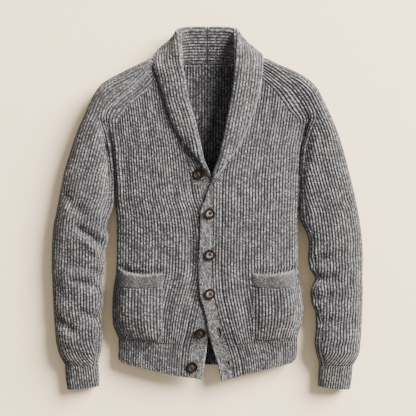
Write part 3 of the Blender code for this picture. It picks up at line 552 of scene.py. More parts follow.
    def strip_point(self, s: np.ndarray, b: float) -> np.ndarray:
        """Points of the strip.

        Args:
            s: distances from its roll to the seam, or to the free edge if negative.
            b: the station.

        Returns:
            The points.
        """
        stand, fall = self.strip_legs(b)
        s = np.asarray(s, float)
        return np.where(s[..., None] >= 0, along(stand, np.maximum(s, 0)), along(fall, np.maximum(-s, 0)))

    def strip_normals(self, s: np.ndarray, b: float, ends: tuple[float, float]) -> np.ndarray:
        """Normals of the strip, out of the face that shows on the band.

        Args:
            s: distances; see strip_point.
            b: the station.
            ends: the least and the greatest.

        Returns:
            The normals.
        """
        b = min(max(b, 0.02), self.strip.x[-1] - 0.02)
        s = np.clip(s, ends[0] + 0.3, ends[1] - 0.3)
        return normals(self.strip_point, s, b, 0.25, 0.015, -1)

    def band_place(self, y: float, inset: float) -> tuple[np.ndarray, np.ndarray, np.ndarray]:
        """A place on the band.

        Args:
            y: the height.
            inset: its distance from the seam.

        Returns:
            Its centre, the way along and the normal, in x, y, z.
        """
        b = self.station(y)
        wide = length(self.strip_legs(b)[0])

        def at(t: float) -> np.ndarray:
            """The same place at another station."""
            return self.strip_point(np.array([length(self.strip_legs(t)[0]) - inset]), t)[0]

        n = self.strip_normals(np.array([wide - inset]), b, (0, wide))[0]
        mirror = (self.sign, 1, 1)
        return at(b) * mirror, unit(at(b + 0.05) - at(b)) * mirror, n * mirror


def normals(point: Callable, a: np.ndarray, b: float, da: float, db: float, flip: int = 1) -> np.ndarray:
    """Normals of a surface given as a function of two measures.

    Args:
        point: the surface.
        a: places along a row.
        b: the row.
        da: small step along the row.
        db: small step to the next row.
        flip: -1 to turn them round.

    Returns:
        The normals.
    """
    across = point(a + da, b) - point(a - da, b)
    down = point(a, b + db) - point(a, b - db)
    return unit(np.cross(across, down)) * flip


def zip_rows(high: list, high_columns: list, low: list, low_columns: list) -> list[list[int]]:
    """Faces between two rows of vertices, either of which may skip columns.

    Args:
        high: vertices of the upper row.
        high_columns: their columns.
        low: vertices of the lower row.
        low_columns: their columns.

    Returns:
        The faces.
    """
    faces, i, j = [], 0, 0
    while i + 1 < len(high) or j + 1 < len(low):
        gap = (high_columns[i + 1] if i + 1 < len(high) else 9e9) - (
            low_columns[j + 1] if j + 1 < len(low) else 9e9
        )
        up, down = gap <= 0, gap >= 0
        faces.append([high[i], high[i + up], low[j + down], low[j]])
        i, j = i + up, j + down
    return faces


class Slot(Enum):
    """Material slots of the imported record."""

    BODY = "wool_body"
    TRIM = "wool_trim"
    HORN = "horn"


def linked(name: str, data: ID) -> Object:
    """Adds an object to the scene.

    Args:
        name: its name.
        data: its mesh, light or camera.

    Returns:
        The object.
    """
    piece = bpy.data.objects.new(name, data)
    bpy.context.scene.collection.objects.link(piece)
    return piece


def solid(name: str, verts: np.ndarray | list, faces: list, smooth: bool = True) -> Object:
    """A mesh object.

    Args:
        name: its name.
        verts: its points in metres.
        faces: its faces.
        smooth: whether they are shaded smooth.

    Returns:
        The object.
    """
    mesh = bpy.data.meshes.new(name)
    mesh.from_pydata([tuple(v) for v in verts], [], faces)
    if smooth:
        mesh.shade_smooth()
    return linked(name, mesh)


def circle(
    radius: float, count: int, z: float = 0.0, start: float = 0.0, centre: tuple = (0.0, 0.0)
) -> list[tuple[float, float, float]]:
    """Points round a circle.

    Args:
        radius: its radius.
        count: how many points.
        z: their height.
        start: the angle of the first.
        centre: the circle's middle.

    Returns:
        The points.
    """
    turns = [start + 2 * math.pi * i / count for i in range(count)]
    return [(centre[0] + radius * math.cos(t), centre[1] + radius * math.sin(t), z) for t in turns]


def bridge(low: int, high: int, count: int) -> list[tuple]:
    """Faces between two rings of points that start at these places in a list."""
    return [(low + i, low + (i + 1) % count, high + (i + 1) % count, high + i) for i in range(count)]


def tube(verts: list, faces: list, path: np.ndarray, radius: float, sides: int) -> None:
    """Adds a round tube along a path to lists of points and faces.

    Args:
        verts: points so far.
        faces: faces so far.
        path: the middle of the tube.
        radius: its radius.
        sides: faces round it.
    """
    run = unit(np.gradient(path, axis=0))
    up = unit(np.cross(run, unit(np.array([0.31, 0.77, 0.55]))))
    side = np.cross(run, up)
    base, last = len(verts), len(verts) + (len(path) - 1) * sides
    for centre, a, b in zip(path, up, side):
        verts.extend(tuple(centre + x * a + y * b) for x, y, _ in circle(radius, sides))
    for start in range(base, last, sides):
        faces += bridge(start, start + sides, sides)
    faces.append(tuple(base + sides - 1 - k for k in range(sides)))
    faces.append(tuple(last + k for k in range(sides)))


@dataclass
class Row:
    """A row of a knitted wall, with a value for each column or one for all of them.

    Args:
        front: points of the face that shows.
        back: points of the other face.
        out: the way out of the face that shows.
        rib: ribs counted across.
        course: courses counted along.
        swell: how much of the rib's height the front takes.
        swell_back: the same for the back.
        tuck: how far a seam or edge draws the front in.
        dense: 1 where the knit is dense and nearly smooth.
        level: how light the dense knit is painted, in place of the painted shade between ribs; at some edges
            a painted highlight or painted shade.
    """

    front: np.ndarray
    back: np.ndarray
    out: np.ndarray
    rib: np.ndarray
    course: Spread
    swell: Spread
    swell_back: Spread = 0.0
    tuck: Spread = 0.0
    dense: Spread = 0.0
    level: Spread = 0.8

    def spread(self, label: str) -> np.ndarray:
        """One of its fields as a value for each column."""
        value = np.asarray(getattr(self, label), float)
        return value if value.ndim == 2 else np.broadcast_to(value, (len(self.front),))


@dataclass
class Patch:
    """A knitted wall.

    Args:
        rows: its rows.
    """

    rows: list[Row] = field(default_factory=list)

    def mesh(
        self, name: str, sign: int, front_picks: Callable, back_picks: Callable, open_rows: int | None = None
    ) -> Object:
        """Joins front and back at their rims.

        Args:
            name: the piece's name.
            sign: 1, or -1 to mirror it in x.
            front_picks: the columns that the front uses in a row.
            back_picks: the columns that the back uses.
            open_rows: rows from this one on are closed rings.

        Returns:
            The piece, with the attributes rib, swell, tuck and out, a UV map of ribs and courses, and one
            of how dense the knit is and how light it is painted.
        """
        rows, columns = len(self.rows), len(self.rows[0].front)
        size = rows * columns
        labels = vars(self.rows[0])
        store = {label: np.concatenate([row.spread(label) for row in self.rows]) for label in labels}
        points = np.concatenate([store["front"], store["back"]])

        def ids(sheet: int, r: int, picks: Callable) -> tuple[list, list]:
            """The vertices that a row uses, and their columns."""
            chosen = picks(r)
            return [sheet * size + r * columns + c for c in chosen], chosen

        f = [ids(0, r, front_picks) for r in range(rows)]
        g = [ids(1, r, back_picks) for r in range(rows)]
        faces = zip_rows(*g[0], *f[0]) + zip_rows(*f[-1], *g[-1])
        for r in range(rows - 1):
            faces += zip_rows(*f[r], *f[r + 1])
            faces += zip_rows(*g[r + 1], *g[r])
            if open_rows is None or r < open_rows:
                faces.append([f[r][0][0], f[r + 1][0][0], g[r + 1][0][0], g[r][0][0]])
                faces.append([f[r + 1][0][-1], f[r][0][-1], g[r][0][-1], g[r + 1][0][-1]])
        # Points that fall together are merged, and the corners that this leaves double are dropped
        faces = np.array(faces)
        key = np.column_stack([np.round(points * 200).astype(int), np.arange(2 * size) // size])
        _, first, inverse = np.unique(key, axis=0, return_index=True, return_inverse=True)
        merged = inverse.reshape(-1)[faces]
        keep = merged != np.roll(merged, 1, axis=1)
        keep &= ~((merged[:, [0]] == merged[:, [2]]) | (merged[:, [1]] == merged[:, [3]]))
        whole = keep.sum(axis=1) >= 3
        faces, merged, keep = faces[whole], merged[whole], keep[whole]
        used, compact = np.unique(merged[keep], return_inverse=True)
        corners, loops, pick = faces[keep], compact.reshape(-1), first[used]
        counts = keep.sum(axis=1)
        starts = np.concatenate([[0], np.cumsum(counts)[:-1]])
        verts = points[pick] * (sign, 1, 1) / 1000
        mesh = bpy.data.meshes.new(name)
        mesh.from_pydata(
            verts.tolist(), [], [loops[a : a + n].tolist() for a, n in zip(starts.tolist(), counts.tolist())]
        )
        for label, pair in (("knit", ("rib", "course")), ("dense", ("dense", "level"))):
            uv = np.column_stack([np.tile(store[part], 2)[corners] for part in pair])
            mesh.uv_layers.new(name=label).data.foreach_set("uv", uv.astype(np.float32).reshape(-1))
        for label, other in (("rib", "rib"), ("swell", "swell_back"), ("tuck", "tuck")):
            values = np.concatenate([store[label], store[other]])[pick].astype(np.float32)
            mesh.attributes.new(label, "FLOAT", "POINT").data.foreach_set("value", values)
        out = np.concatenate([store["out"], -store["out"]])[pick] * (sign, 1, 1)
        way = mesh.attributes.new("out", "FLOAT_VECTOR", "POINT")
        way.data.foreach_set("vector", out.astype(np.float32).reshape(-1))
        if signed_volume(verts, loops, starts, counts) < 0:
            mesh.flip_normals()
        mesh.shade_smooth()
        return linked(name, mesh)


def signed_volume(verts: np.ndarray, loops: np.ndarray, starts: np.ndarray, counts: np.ndarray) -> float:
    """Volume inside a closed mesh, below 0 where its faces point inwards.

    Args:
        verts: its points.
        loops: the vertex at each corner.
        starts: each face's first corner.
        counts: how many it has.

    Returns:
        The volume.
    """
    a, b, c = verts[loops[starts]], verts[loops[starts + 1]], verts[loops[starts + 2]]
    d = verts[loops[starts + counts - 1]]
    return float((a * np.cross(b, c)).sum() + (a * np.cross(c, d)).sum())


def all_of(count: int) -> Callable:
    """Picks every column."""
    chosen = list(range(count))
    return lambda row: chosen


def some_of(count: int, every: int, keep: tuple | list = ()) -> Callable:
    """Picks every so many columns, both ends, and those to keep."""
    chosen = sorted({*range(0, count, every), count - 1, *keep})
    return lambda row: chosen


def seam_pull(a: np.ndarray, low: float, high: float, reach: float) -> np.ndarray:
    """How far a seam at either limit draws the cloth in, for places a, in millimetres."""
    near = np.minimum(a - low, high - a)
    return -1.1 * np.exp(-((near / reach) ** 2))


def edge_swell(a: np.ndarray, low: float, high: float, reach: float) -> np.ndarray:
    """The rib's share of its height, which fades within this reach of either limit."""
    return np.clip(np.minimum(a - low, high - a) / reach, 0, 1)


# ---- geometry nodes ----


def fill(node: Node, links: dict | tuple) -> None:
    """Gives a node's inputs what they get.

    Args:
        node: the node.
        links: a value, another node's output, or another node for its first output, for each input in
            order or by its name or number.
    """
    for key, value in (links if isinstance(links, dict) else dict(enumerate(links))).items():
        value = value.outputs[0] if isinstance(value, Node) else value
        if isinstance(value, NodeSocket):
            node.id_data.links.new(value, node.inputs[key])
        else:
            node.inputs[key].default_value = value


def add(tree: NodeTree, kind: str, links: dict | tuple = (), **settings: object) -> Node:
    """Adds a node.

    Args:
        tree: the node tree.
        kind: the node's type.
        links: what its inputs get; see fill.
        settings: the node's own settings.

    Returns:
        The node.
    """
    node = tree.nodes.new(kind)
    for key, value in settings.items():
        setattr(node, key, value)
    fill(node, links)
    return node


def new_tree(name: str, inputs: dict[str, float]) -> tuple[NodeTree, Node]:
    """A Geometry Nodes tree with a geometry input and named float inputs.

    Args:
        name: its name.
        inputs: each input's value at first.

    Returns:
        The tree and its input node.
    """
    tree = bpy.data.node_groups.new(name, "GeometryNodeTree")
    tree.interface.new_socket("Geometry", in_out="INPUT", socket_type="NodeSocketGeometry")
    for label, value in inputs.items():
        socket = tree.interface.new_socket(label, in_out="INPUT", socket_type="NodeSocketFloat")
        socket.default_value = value
    tree.interface.new_socket("Geometry", in_out="OUTPUT", socket_type="NodeSocketGeometry")
    return tree, tree.nodes.new("NodeGroupInput")


def finish_tree(tree: NodeTree, geometry: Node, finish: Material) -> None:
    """Ends a tree in Realize Instances and Set Material.

    Args:
        tree: the tree.
        geometry: the node whose geometry it gives.
        finish: the material.
    """
    real = add(tree, "GeometryNodeRealizeInstances", (geometry,))
    dressed = add(tree, "GeometryNodeSetMaterial", {"Geometry": real, "Material": finish})
    add(tree, "NodeGroupOutput", (dressed,))


def settle(piece: Object) -> Object:
    """Leaves the result of a piece's modifiers as its plain mesh.

    Args:
        piece: the piece.

    Returns:
        The piece.
    """
    bpy.context.view_layer.update()
    graph = bpy.context.evaluated_depsgraph_get()
    mesh = bpy.data.meshes.new_from_object(piece.evaluated_get(graph), depsgraph=graph)
    piece.modifiers.clear()
    old, piece.data = piece.data, mesh
    bpy.data.meshes.remove(old)
    mesh.name = piece.name
    return piece


def bake(piece: Object, tree: NodeTree, sizes: dict[str, float]) -> Object:
    """Runs a tree on a piece and leaves the result as its plain mesh.

    Args:
        piece: the object that the tree starts from.
        tree: the Geometry Nodes tree.
        sizes: its named inputs.

    Returns:
        The piece.
    """
    modifier = piece.modifiers.new(tree.name, "NODES")
    modifier.node_group = tree
    for socket in tree.interface.items_tree:
        if socket.item_type == "SOCKET" and socket.in_out == "INPUT" and socket.name in sizes:
            modifier[socket.identifier] = float(sizes[socket.name])
    return settle(piece)


def rib_tree(finish: Material) -> NodeTree:
    """A tree that raises ribs in a wall: round, with a narrow valley, and uneven as hand-fed yarn is.

    Args:
        finish: the wool.

    Returns:
        The tree, whose sizes are in metres.
    """
    tree, given = new_tree(
        "raise " + finish.name, {"Rib height": 0.0012, "Roundness": 0.75, "Unevenness": 0.35, "Seed": 3.0}
    )
    rib, swell, tuck, out = (
        add(tree, "GeometryNodeInputNamedAttribute", {"Name": name}, data_type=kind).outputs["Attribute"]
        for name, kind in (("rib", "FLOAT"), ("swell", "FLOAT"), ("tuck", "FLOAT"), ("out", "FLOAT_VECTOR"))
    )
    wave = add(tree, MATH, (rib,), operation="FRACT")
    wave = add(tree, MATH, (wave, math.pi), operation="MULTIPLY")
    wave = add(tree, MATH, (wave,), operation="SINE")
    wave = add(tree, MATH, (wave, 0.0), operation="MAXIMUM")
    wave = add(tree, MATH, (wave, given.outputs["Roundness"]), operation="POWER")
    # Noise of about 7 mm, the length of a slack stitch or two
    noise = add(
        tree, "ShaderNodeTexNoise",
        {
            "Vector": add(tree, "GeometryNodeInputPosition"), "W": given.outputs["Seed"], "Scale": 140.0,
            "Detail": 2.0,
        },
        noise_dimensions="4D",
    )
    uneven = add(tree, MATH, (noise, 0.5), operation="SUBTRACT")
    uneven = add(tree, MATH, (uneven, given.outputs["Unevenness"], 1.0), operation="MULTIPLY_ADD")
    high = add(tree, MATH, (wave, uneven), operation="MULTIPLY")
    high = add(tree, MATH, (high, swell), operation="MULTIPLY")
    drawn = add(tree, MATH, (tuck, 0.001), operation="MULTIPLY")
    high = add(tree, MATH, (high, given.outputs["Rib height"], drawn), operation="MULTIPLY_ADD")
    move = add(tree, "ShaderNodeVectorMath", {0: out, "Scale": high}, operation="SCALE")
    raised = add(tree, "GeometryNodeSetPosition", {"Geometry": given, "Offset": move})
    finish_tree(tree, raised, finish)
    return tree


def stitch_tree(finish: Material) -> NodeTree:
    """A tree that sets rounded stitches across the paths of a mesh of edges, at an even pitch.

    Args:
        finish: the yarn.

    Returns:
        The tree, whose sizes are in metres.
    """
    tree, given = new_tree(
        "stitch " + finish.name, {"Pitch": 0.003, "Stitch length": 0.003, "Thread": 0.0006, "Seed": 5.0}
    )
    curve = add(tree, "GeometryNodeMeshToCurve", {"Mesh": given})
    even = add(
        tree, "GeometryNodeResampleCurve", {"Curve": curve, "Length": given.outputs["Pitch"]}, mode="LENGTH"
    )
    out = add(tree, "GeometryNodeInputNamedAttribute", {"Name": "out"}, data_type="FLOAT_VECTOR")
    out = out.outputs["Attribute"]
    side = add(
        tree, "ShaderNodeVectorMath", (out, add(tree, "GeometryNodeInputTangent")), operation="CROSS_PRODUCT"
    )
    turn = add(tree, "FunctionNodeAlignRotationToVector", {"Vector": side}, axis="X")
    turn = add(
        tree, "FunctionNodeAlignRotationToVector", {"Rotation": turn, "Vector": out}, axis="Z", pivot_axis="X"
    )
    seed = add(tree, "FunctionNodeFloatToInt", (given.outputs["Seed"],))
    chance, tilt = (
        add(tree, "FunctionNodeRandomValue", {2: low, 3: high, "Seed": seed}, data_type="FLOAT").outputs[1]
        for low, high in ((0.85, 1.15), (-0.15, 0.15))
    )
    spin = add(tree, "ShaderNodeCombineXYZ", {"Z": tilt})
    turn = add(tree, "FunctionNodeRotateRotation", (turn, spin), rotation_space="LOCAL")
    thread = given.outputs["Thread"]
    size = add(tree, "ShaderNodeCombineXYZ", (given.outputs["Stitch length"], thread, thread))
    size = add(tree, "ShaderNodeVectorMath", {0: size, "Scale": chance}, operation="SCALE")
    bead = add(tree, "GeometryNodeMeshUVSphere", {"Segments": 6, "Rings": 4, "Radius": 0.5})
    smooth = add(tree, "GeometryNodeSetShadeSmooth", (bead,))
    laid = add(
        tree, "GeometryNodeInstanceOnPoints",
        {"Points": even, "Instance": smooth, "Rotation": turn, "Scale": size},
    )
    finish_tree(tree, laid, finish)
    return tree


def path_mesh(name: str, paths: list[Pair]) -> Object:
    """A mesh of edges along paths.

    Args:
        name: the piece's name.
        paths: the points of each path in millimetres, and the way out.

    Returns:
        The piece, with the attribute out.
    """
    points, edges, outs = [], [], []
    for path, out in paths:
        base = len(points)
        points += [tuple(p) for p in path / 1000]
        outs += [tuple(o) for o in np.broadcast_to(out, path.shape)]
        edges += [(base + i, base + i + 1) for i in range(len(path) - 1)]
    mesh = bpy.data.meshes.new(name)
    mesh.from_pydata(points, edges, [])
    store = mesh.attributes.new("out", "FLOAT_VECTOR", "POINT")
    store.data.foreach_set("vector", np.array(outs, np.float32).reshape(-1))
    return linked(name, mesh)


# ---- finishes ----


def linear(code: str) -> tuple[float, float, float, float]:
    """A colour given as an sRGB code, as linear light."""
    parts = [int(code[i : i + 2], 16) / 255 for i in (1, 3, 5)]
    return (*(c / 12.92 if c <= 0.04045 else ((c + 0.055) / 1.055) ** 2.4 for c in parts), 1.0)


def new_material(name: str) -> tuple[Material, NodeTree, Node]:
    """A new material.

    Args:
        name: its name.

    Returns:
        The material, its tree and its Principled shader.
    """
    finish = bpy.data.materials.new(name)
    finish.use_nodes = True
    tree = finish.node_tree
    return finish, tree, tree.nodes["Principled BSDF"]


def ramp(
    tree: NodeTree, value: NodeSocket | Node, stops: list[tuple[float, str]]
) -> Node:
    """Adds a colour ramp.

    Args:
        tree: the node tree.
        value: what it reads.
        stops: a place and an sRGB code for each stop.

    Returns:
        The node.
    """
    node = add(tree, "ShaderNodeValToRGB", (value,))
    elements = node.color_ramp.elements
    while len(elements) < len(stops):
        elements.new(0.5)
    for element, (place, code) in zip(elements, stops):
        element.position = place
        element.color = linear(code)
    return node


@dataclass(frozen=True)
class MarlWool:
    """Thick marled wool in fisherman's rib: matt, with dark and pale plies twisted in one yarn.

    Args:
        name: the finish's name.
        dark: the dark ply.
        mid: where the plies blend.
        pale: the pale ply.
        valley: how much of the colour the painted shade between the ribs leaves, from 0 to 1.
    """

    name: str
    dark: str = "#0B0B0C"
    mid: str = "#3F3C3E"
    pale: str = "#B2AEAF"
    valley: float = 0.08

    def make(self) -> Material:
        """Builds the material on the UV map of ribs and courses, so that the yarn follows every piece.

        Returns:
            The material; its patterns are scaled in ribs of 5 to 6 mm and courses of 3 mm.
        """
        finish, tree, shader = new_material(self.name)
        knit = add(tree, "ShaderNodeSeparateXYZ", (add(tree, "ShaderNodeUVMap", uv_map="knit"),))
        rib, course = knit.outputs[0], knit.outputs[1]
        phase = add(tree, MATH, (rib,), operation="FRACT")
        off = add(tree, MATH, (phase, 0.5), operation="SUBTRACT")
        off = add(tree, MATH, (off,), operation="ABSOLUTE")
        # Each course is a V: its two legs climb from the crest of the rib to the valleys
        climb = add(tree, MATH, (off, -1.3, course), operation="MULTIPLY_ADD")
        leg = add(tree, MATH, (rib, 2.0), operation="MULTIPLY")
        leg = add(tree, MATH, (leg,), operation="FLOOR")
        row = add(tree, MATH, (climb,), operation="FLOOR")
        cell = add(tree, "ShaderNodeCombineXYZ", (leg, row))
        chance = add(tree, "ShaderNodeTexWhiteNoise", {"Vector": cell}, noise_dimensions="2D")
        # The plies twist round each other: long pale and dark flecks that lie along each leg
        own = add(tree, MATH, (rib,), operation="FLOOR")
        lean = add(tree, MATH, (phase, 1.1), operation="MULTIPLY")
        own = add(tree, MATH, (own, 7.3, lean), operation="MULTIPLY_ADD")
        rise = add(tree, MATH, (climb, 1.5), operation="MULTIPLY")
        place = add(tree, "ShaderNodeCombineXYZ", (own, rise))
        fleck = add(
            tree, "ShaderNodeTexNoise", {"Vector": place, "Scale": 1.0, "Detail": 1.0, "Roughness": 0.6}
        )
        wide = add(tree, MATH, (rib, 9.0), operation="MULTIPLY")
        rise = add(tree, MATH, (climb, 2.6), operation="MULTIPLY")
        place = add(tree, "ShaderNodeCombineXYZ", (wide, rise))
        ply = add(tree, "ShaderNodeTexNoise", {"Vector": place, "Scale": 1.0, "Detail": 1.0})
        # A slow drift of shade along the ribs, as one ball of yarn follows another
        wide = add(tree, MATH, (rib, 0.33), operation="MULTIPLY")
        rise = add(tree, MATH, (course, 0.05), operation="MULTIPLY")
        place = add(tree, "ShaderNodeCombineXYZ", (wide, rise))
        drift = add(tree, "ShaderNodeTexNoise", {"Vector": place, "Scale": 1.0})
        tone = add(tree, MATH, (fleck, 0.46), operation="MULTIPLY")
        for noise, share in ((chance, 0.22), (ply, 0.46), (drift, 0.22)):
            tone = add(tree, MATH, (noise, share, tone), operation="MULTIPLY_ADD")
        tone = add(tree, MATH, (tone, 0.18), operation="SUBTRACT")
        yarn = ramp(tree, tone, [(0.26, self.dark), (0.50, self.mid), (0.80, self.pale)])
        # Painted shade: the colour is darkened in the valleys between ribs and where one stitch dives under
        # the next, where light fails
        crest = add(tree, MATH, (phase, math.pi), operation="MULTIPLY")
        crest = add(tree, MATH, (crest,), operation="SINE")
        crest = add(tree, MATH, (crest, 0.001), operation="MAXIMUM")
        crest = add(tree, MATH, (crest, 1.35), operation="POWER")
        inside = add(tree, MATH, (climb,), operation="FRACT")
        rest = add(tree, MATH, (1.0, inside), operation="SUBTRACT")
        stitch = add(tree, MATH, (inside, rest), operation="MULTIPLY")
        stitch = add(tree, MATH, (stitch, 4.0), operation="MULTIPLY")
        shade = add(tree, MATH, (crest, 1.0 - self.valley, self.valley), operation="MULTIPLY_ADD")
        # Where the knit is dense the painted shade gives way to the painted lightness in the UV map dense,
        # which holds painted highlights too
        dense = add(tree, "ShaderNodeSeparateXYZ", (add(tree, "ShaderNodeUVMap", uv_map="dense"),))
        shade = add(tree, "ShaderNodeMix", {"Factor": dense, "A": shade, "B": dense.outputs[1]})
        painted_dive_shade = add(tree, MATH, (stitch, 0.5), operation="POWER")
        painted_dive_shade = add(tree, MATH, (painted_dive_shade, 0.28, 0.76), operation="MULTIPLY_ADD")
        shade = add(tree, MATH, (shade, painted_dive_shade), operation="MULTIPLY")
        # The yarn's colour times the painted shade
        yarn_with_painted_shade = add(tree, "ShaderNodeVectorMath", {0: yarn, "Scale": shade}, operation="SCALE")
        # Relief of the stitches, and of fibres 1.1 mm apart and finer: coarser than real, so that they show
        place = add(tree, "ShaderNodeTexCoord").outputs["Object"]
        fibre = add(tree, "ShaderNodeTexNoise", {"Vector": place, "Scale": 900.0, "Detail": 3.0})
        relief = add(tree, MATH, (stitch, crest), operation="MULTIPLY")
        relief = add(tree, MATH, (fibre, 0.5, relief), operation="MULTIPLY_ADD")
        relief = add(tree, MATH, (crest, 0.8, relief), operation="MULTIPLY_ADD")
        bump = add(tree, "ShaderNodeBump", {"Strength": 0.75, "Distance": 0.0009, "Height": relief})
        fill(shader, {
            "Base Color": yarn_with_painted_shade, "Normal": bump, "Roughness": 0.92, "Specular IOR Level": 0.18,
            "Sheen Weight": 0.22, "Sheen Roughness": 0.55,
        })
        return finish


@dataclass(frozen=True)
class Horn:
    """Turned and polished dark horn: nearly black, with paler streaks in the dish inside its rim.

    Args:
        name: the finish's name.
        brown: streaks in the dish.
        glint: the palest of them.
        dark: the body of the horn.
        bark: streaks in the rim.
    """

    name: str
    brown: str
    glint: str
    dark: str = "#0B0605"
    bark: str = "#180D08"

    def make(self) -> Material:
        """Builds the material: streaks that run one way through the horn, under a soft polish.

        Returns:
            The material, whose streaks are about 4 mm wide and 17 mm long.
        """
        finish, tree, shader = new_material(self.name)
        place = add(tree, "ShaderNodeTexCoord").outputs["Object"]
        lie = add(
            tree, "ShaderNodeMapping",
            {"Vector": place, "Rotation": (0.2, 0.5, 0.7), "Scale": (60.0, 240.0, 160.0)},
        )
        streak = add(
            tree, "ShaderNodeTexNoise", {"Vector": lie, "Scale": 1.0, "Detail": 4.0, "Distortion": 0.6}
        )
        rim = ramp(tree, streak, [(0.35, self.dark), (0.75, self.bark)])
        dish = ramp(tree, streak, [(0.28, self.bark), (0.46, self.brown), (0.68, self.glint)])
        # How far out a place lies: the holes and the rim stay dark
        reach = add(tree, "ShaderNodeSeparateXYZ", (add(tree, "ShaderNodeUVMap", uv_map="turned"),))
        ring = ramp(tree, reach, [(0.28, "#000000"), (0.38, "#FFFFFF"), (0.54, "#FFFFFF"), (0.66, "#000000")])
        colour = add(tree, "ShaderNodeMix", {0: ring, 6: rim, 7: dish}, data_type="RGBA")
        wear = add(tree, "ShaderNodeTexNoise", {"Vector": place, "Scale": 420.0, "Detail": 2.0})
        rough = add(tree, "ShaderNodeMapRange", {0: wear, 3: 0.46, 4: 0.66})
        bump = add(tree, "ShaderNodeBump", {"Strength": 0.15, "Distance": 0.0003, "Height": wear})
        fill(shader, {
            "Base Color": colour.outputs[2], "Roughness": rough, "Normal": bump, "Specular IOR Level": 0.14,
            "Coat Weight": 0.02, "Coat Roughness": 0.3,
        })
        return finish


@dataclass(frozen=True)
class Thread:
    """Twisted cotton sewing thread: matt, with fine slanted plies.

    Args:
        name: the finish's name.
        dark: between its plies.
        light: on its plies.
    """

    name: str
    dark: str
    light: str

    def make(self) -> Material:
        """Builds the material.

        Returns:
            The material, whose plies are about 0.4 mm apart.
        """
        finish, tree, shader = new_material(self.name)
        place = add(tree, "ShaderNodeTexCoord").outputs["Object"]
        plies = add(
            tree, "ShaderNodeTexWave", {"Vector": place, "Scale": 900.0, "Distortion": 2.0, "Detail": 1.0},
            bands_direction="DIAGONAL",
        ).outputs[1]
        colour = ramp(tree, plies, [(0.2, self.dark), (0.8, self.light)])
        bump = add(tree, "ShaderNodeBump", {"Strength": 0.4, "Distance": 0.0002, "Height": plies})
        fill(shader, {"Base Color": colour, "Normal": bump, "Roughness": 0.7})
        return finish


@dataclass(frozen=True)
class Backdrop:
    """Matt pale paper with the faintest tooth.

    Args:
        name: the finish's name.
        low: the paper's darker grain.
        high: its paler grain.
    """

    name: str
    low: str = "#F2DBB7"
    high: str = "#F4DEBB"

    def make(self) -> Material:
        """Builds the material.

        Returns:
            The material, whose grain is about 17 mm wide.
        """
        finish, tree, shader = new_material(self.name)
        place = add(tree, "ShaderNodeTexCoord").outputs["Object"]
        grain = add(tree, "ShaderNodeTexNoise", {"Vector": place, "Scale": 60.0, "Detail": 2.0})
        colour = ramp(tree, grain, [(0.3, self.low), (0.7, self.high)])
        fill(shader, {"Base Color": colour, "Roughness": 0.95, "Specular IOR Level": 0.1})
        return finish


# ---- knitted pieces ----


@dataclass
class Cloth:
    """A knitted piece and the cloth that it takes, in millimetres.

    Args:
        piece: the wall as built.
        wide: its width laid flat.
        high: its length laid flat.
        area: its area.
    """

    piece: Object
    wide: float
    high: float
    area: float


@dataclass
class Dresser:
    """Hands each finished piece to the frame.

    Args:
        ribs: the tree that raises ribs, for each slot.
    """

    ribs: dict[Slot, NodeTree]

    def knit(self, cloth: Cloth, slot: Slot, nodes: tuple, rests: tuple = ()) -> None:
        """Args:
            cloth: the piece and its cloth.
            slot: its material slot.
            nodes: the CAD nodes that it takes the place of.
            rests: the nodes that it lies on; not used.
        """
        piece = bake(cloth.piece, self.ribs[slot], {"Rib height": RELIEF / 1000})
        self.hand_over(piece, nodes)

    def hand_over(self, piece: Object, nodes: tuple = ()) -> None:
        """Makes a piece ride the root body.

        Args:
            piece: the piece.
            nodes: the CAD nodes that it takes the place of, if any.
        """
        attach(piece, "root")
        if nodes:
            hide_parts(*nodes)
        log.info("%s: %d faces", piece.name, len(piece.data.polygons))


def levels_between(
    high: float, low: float, pace: float, ends: tuple[bool, bool] = (False, False)
) -> np.ndarray:
    """Heights of rows, closer together at ends that are rounded.

    Args:
        high: the highest.
        low: the lowest.
        pace: from one row to the next.
        ends: whether the top and the foot are rounded.

    Returns:
        The heights from the top.
    """
    count = max(2, round((high - low) / pace))
    rows = list(np.linspace(high, low, count + 1))
    rows += [high - c for c in CLOSE_ROWS if ends[0]] + [low + c for c in CLOSE_ROWS if ends[1]]
    return np.array(sorted(set(rows), reverse=True))


def rim(d: Spread) -> np.ndarray:
    """How a free edge rounds off at the distances d from it."""
    return -1.25 * np.clip(1 - np.asarray(d, float) / 2.0, 0, 1) ** 2


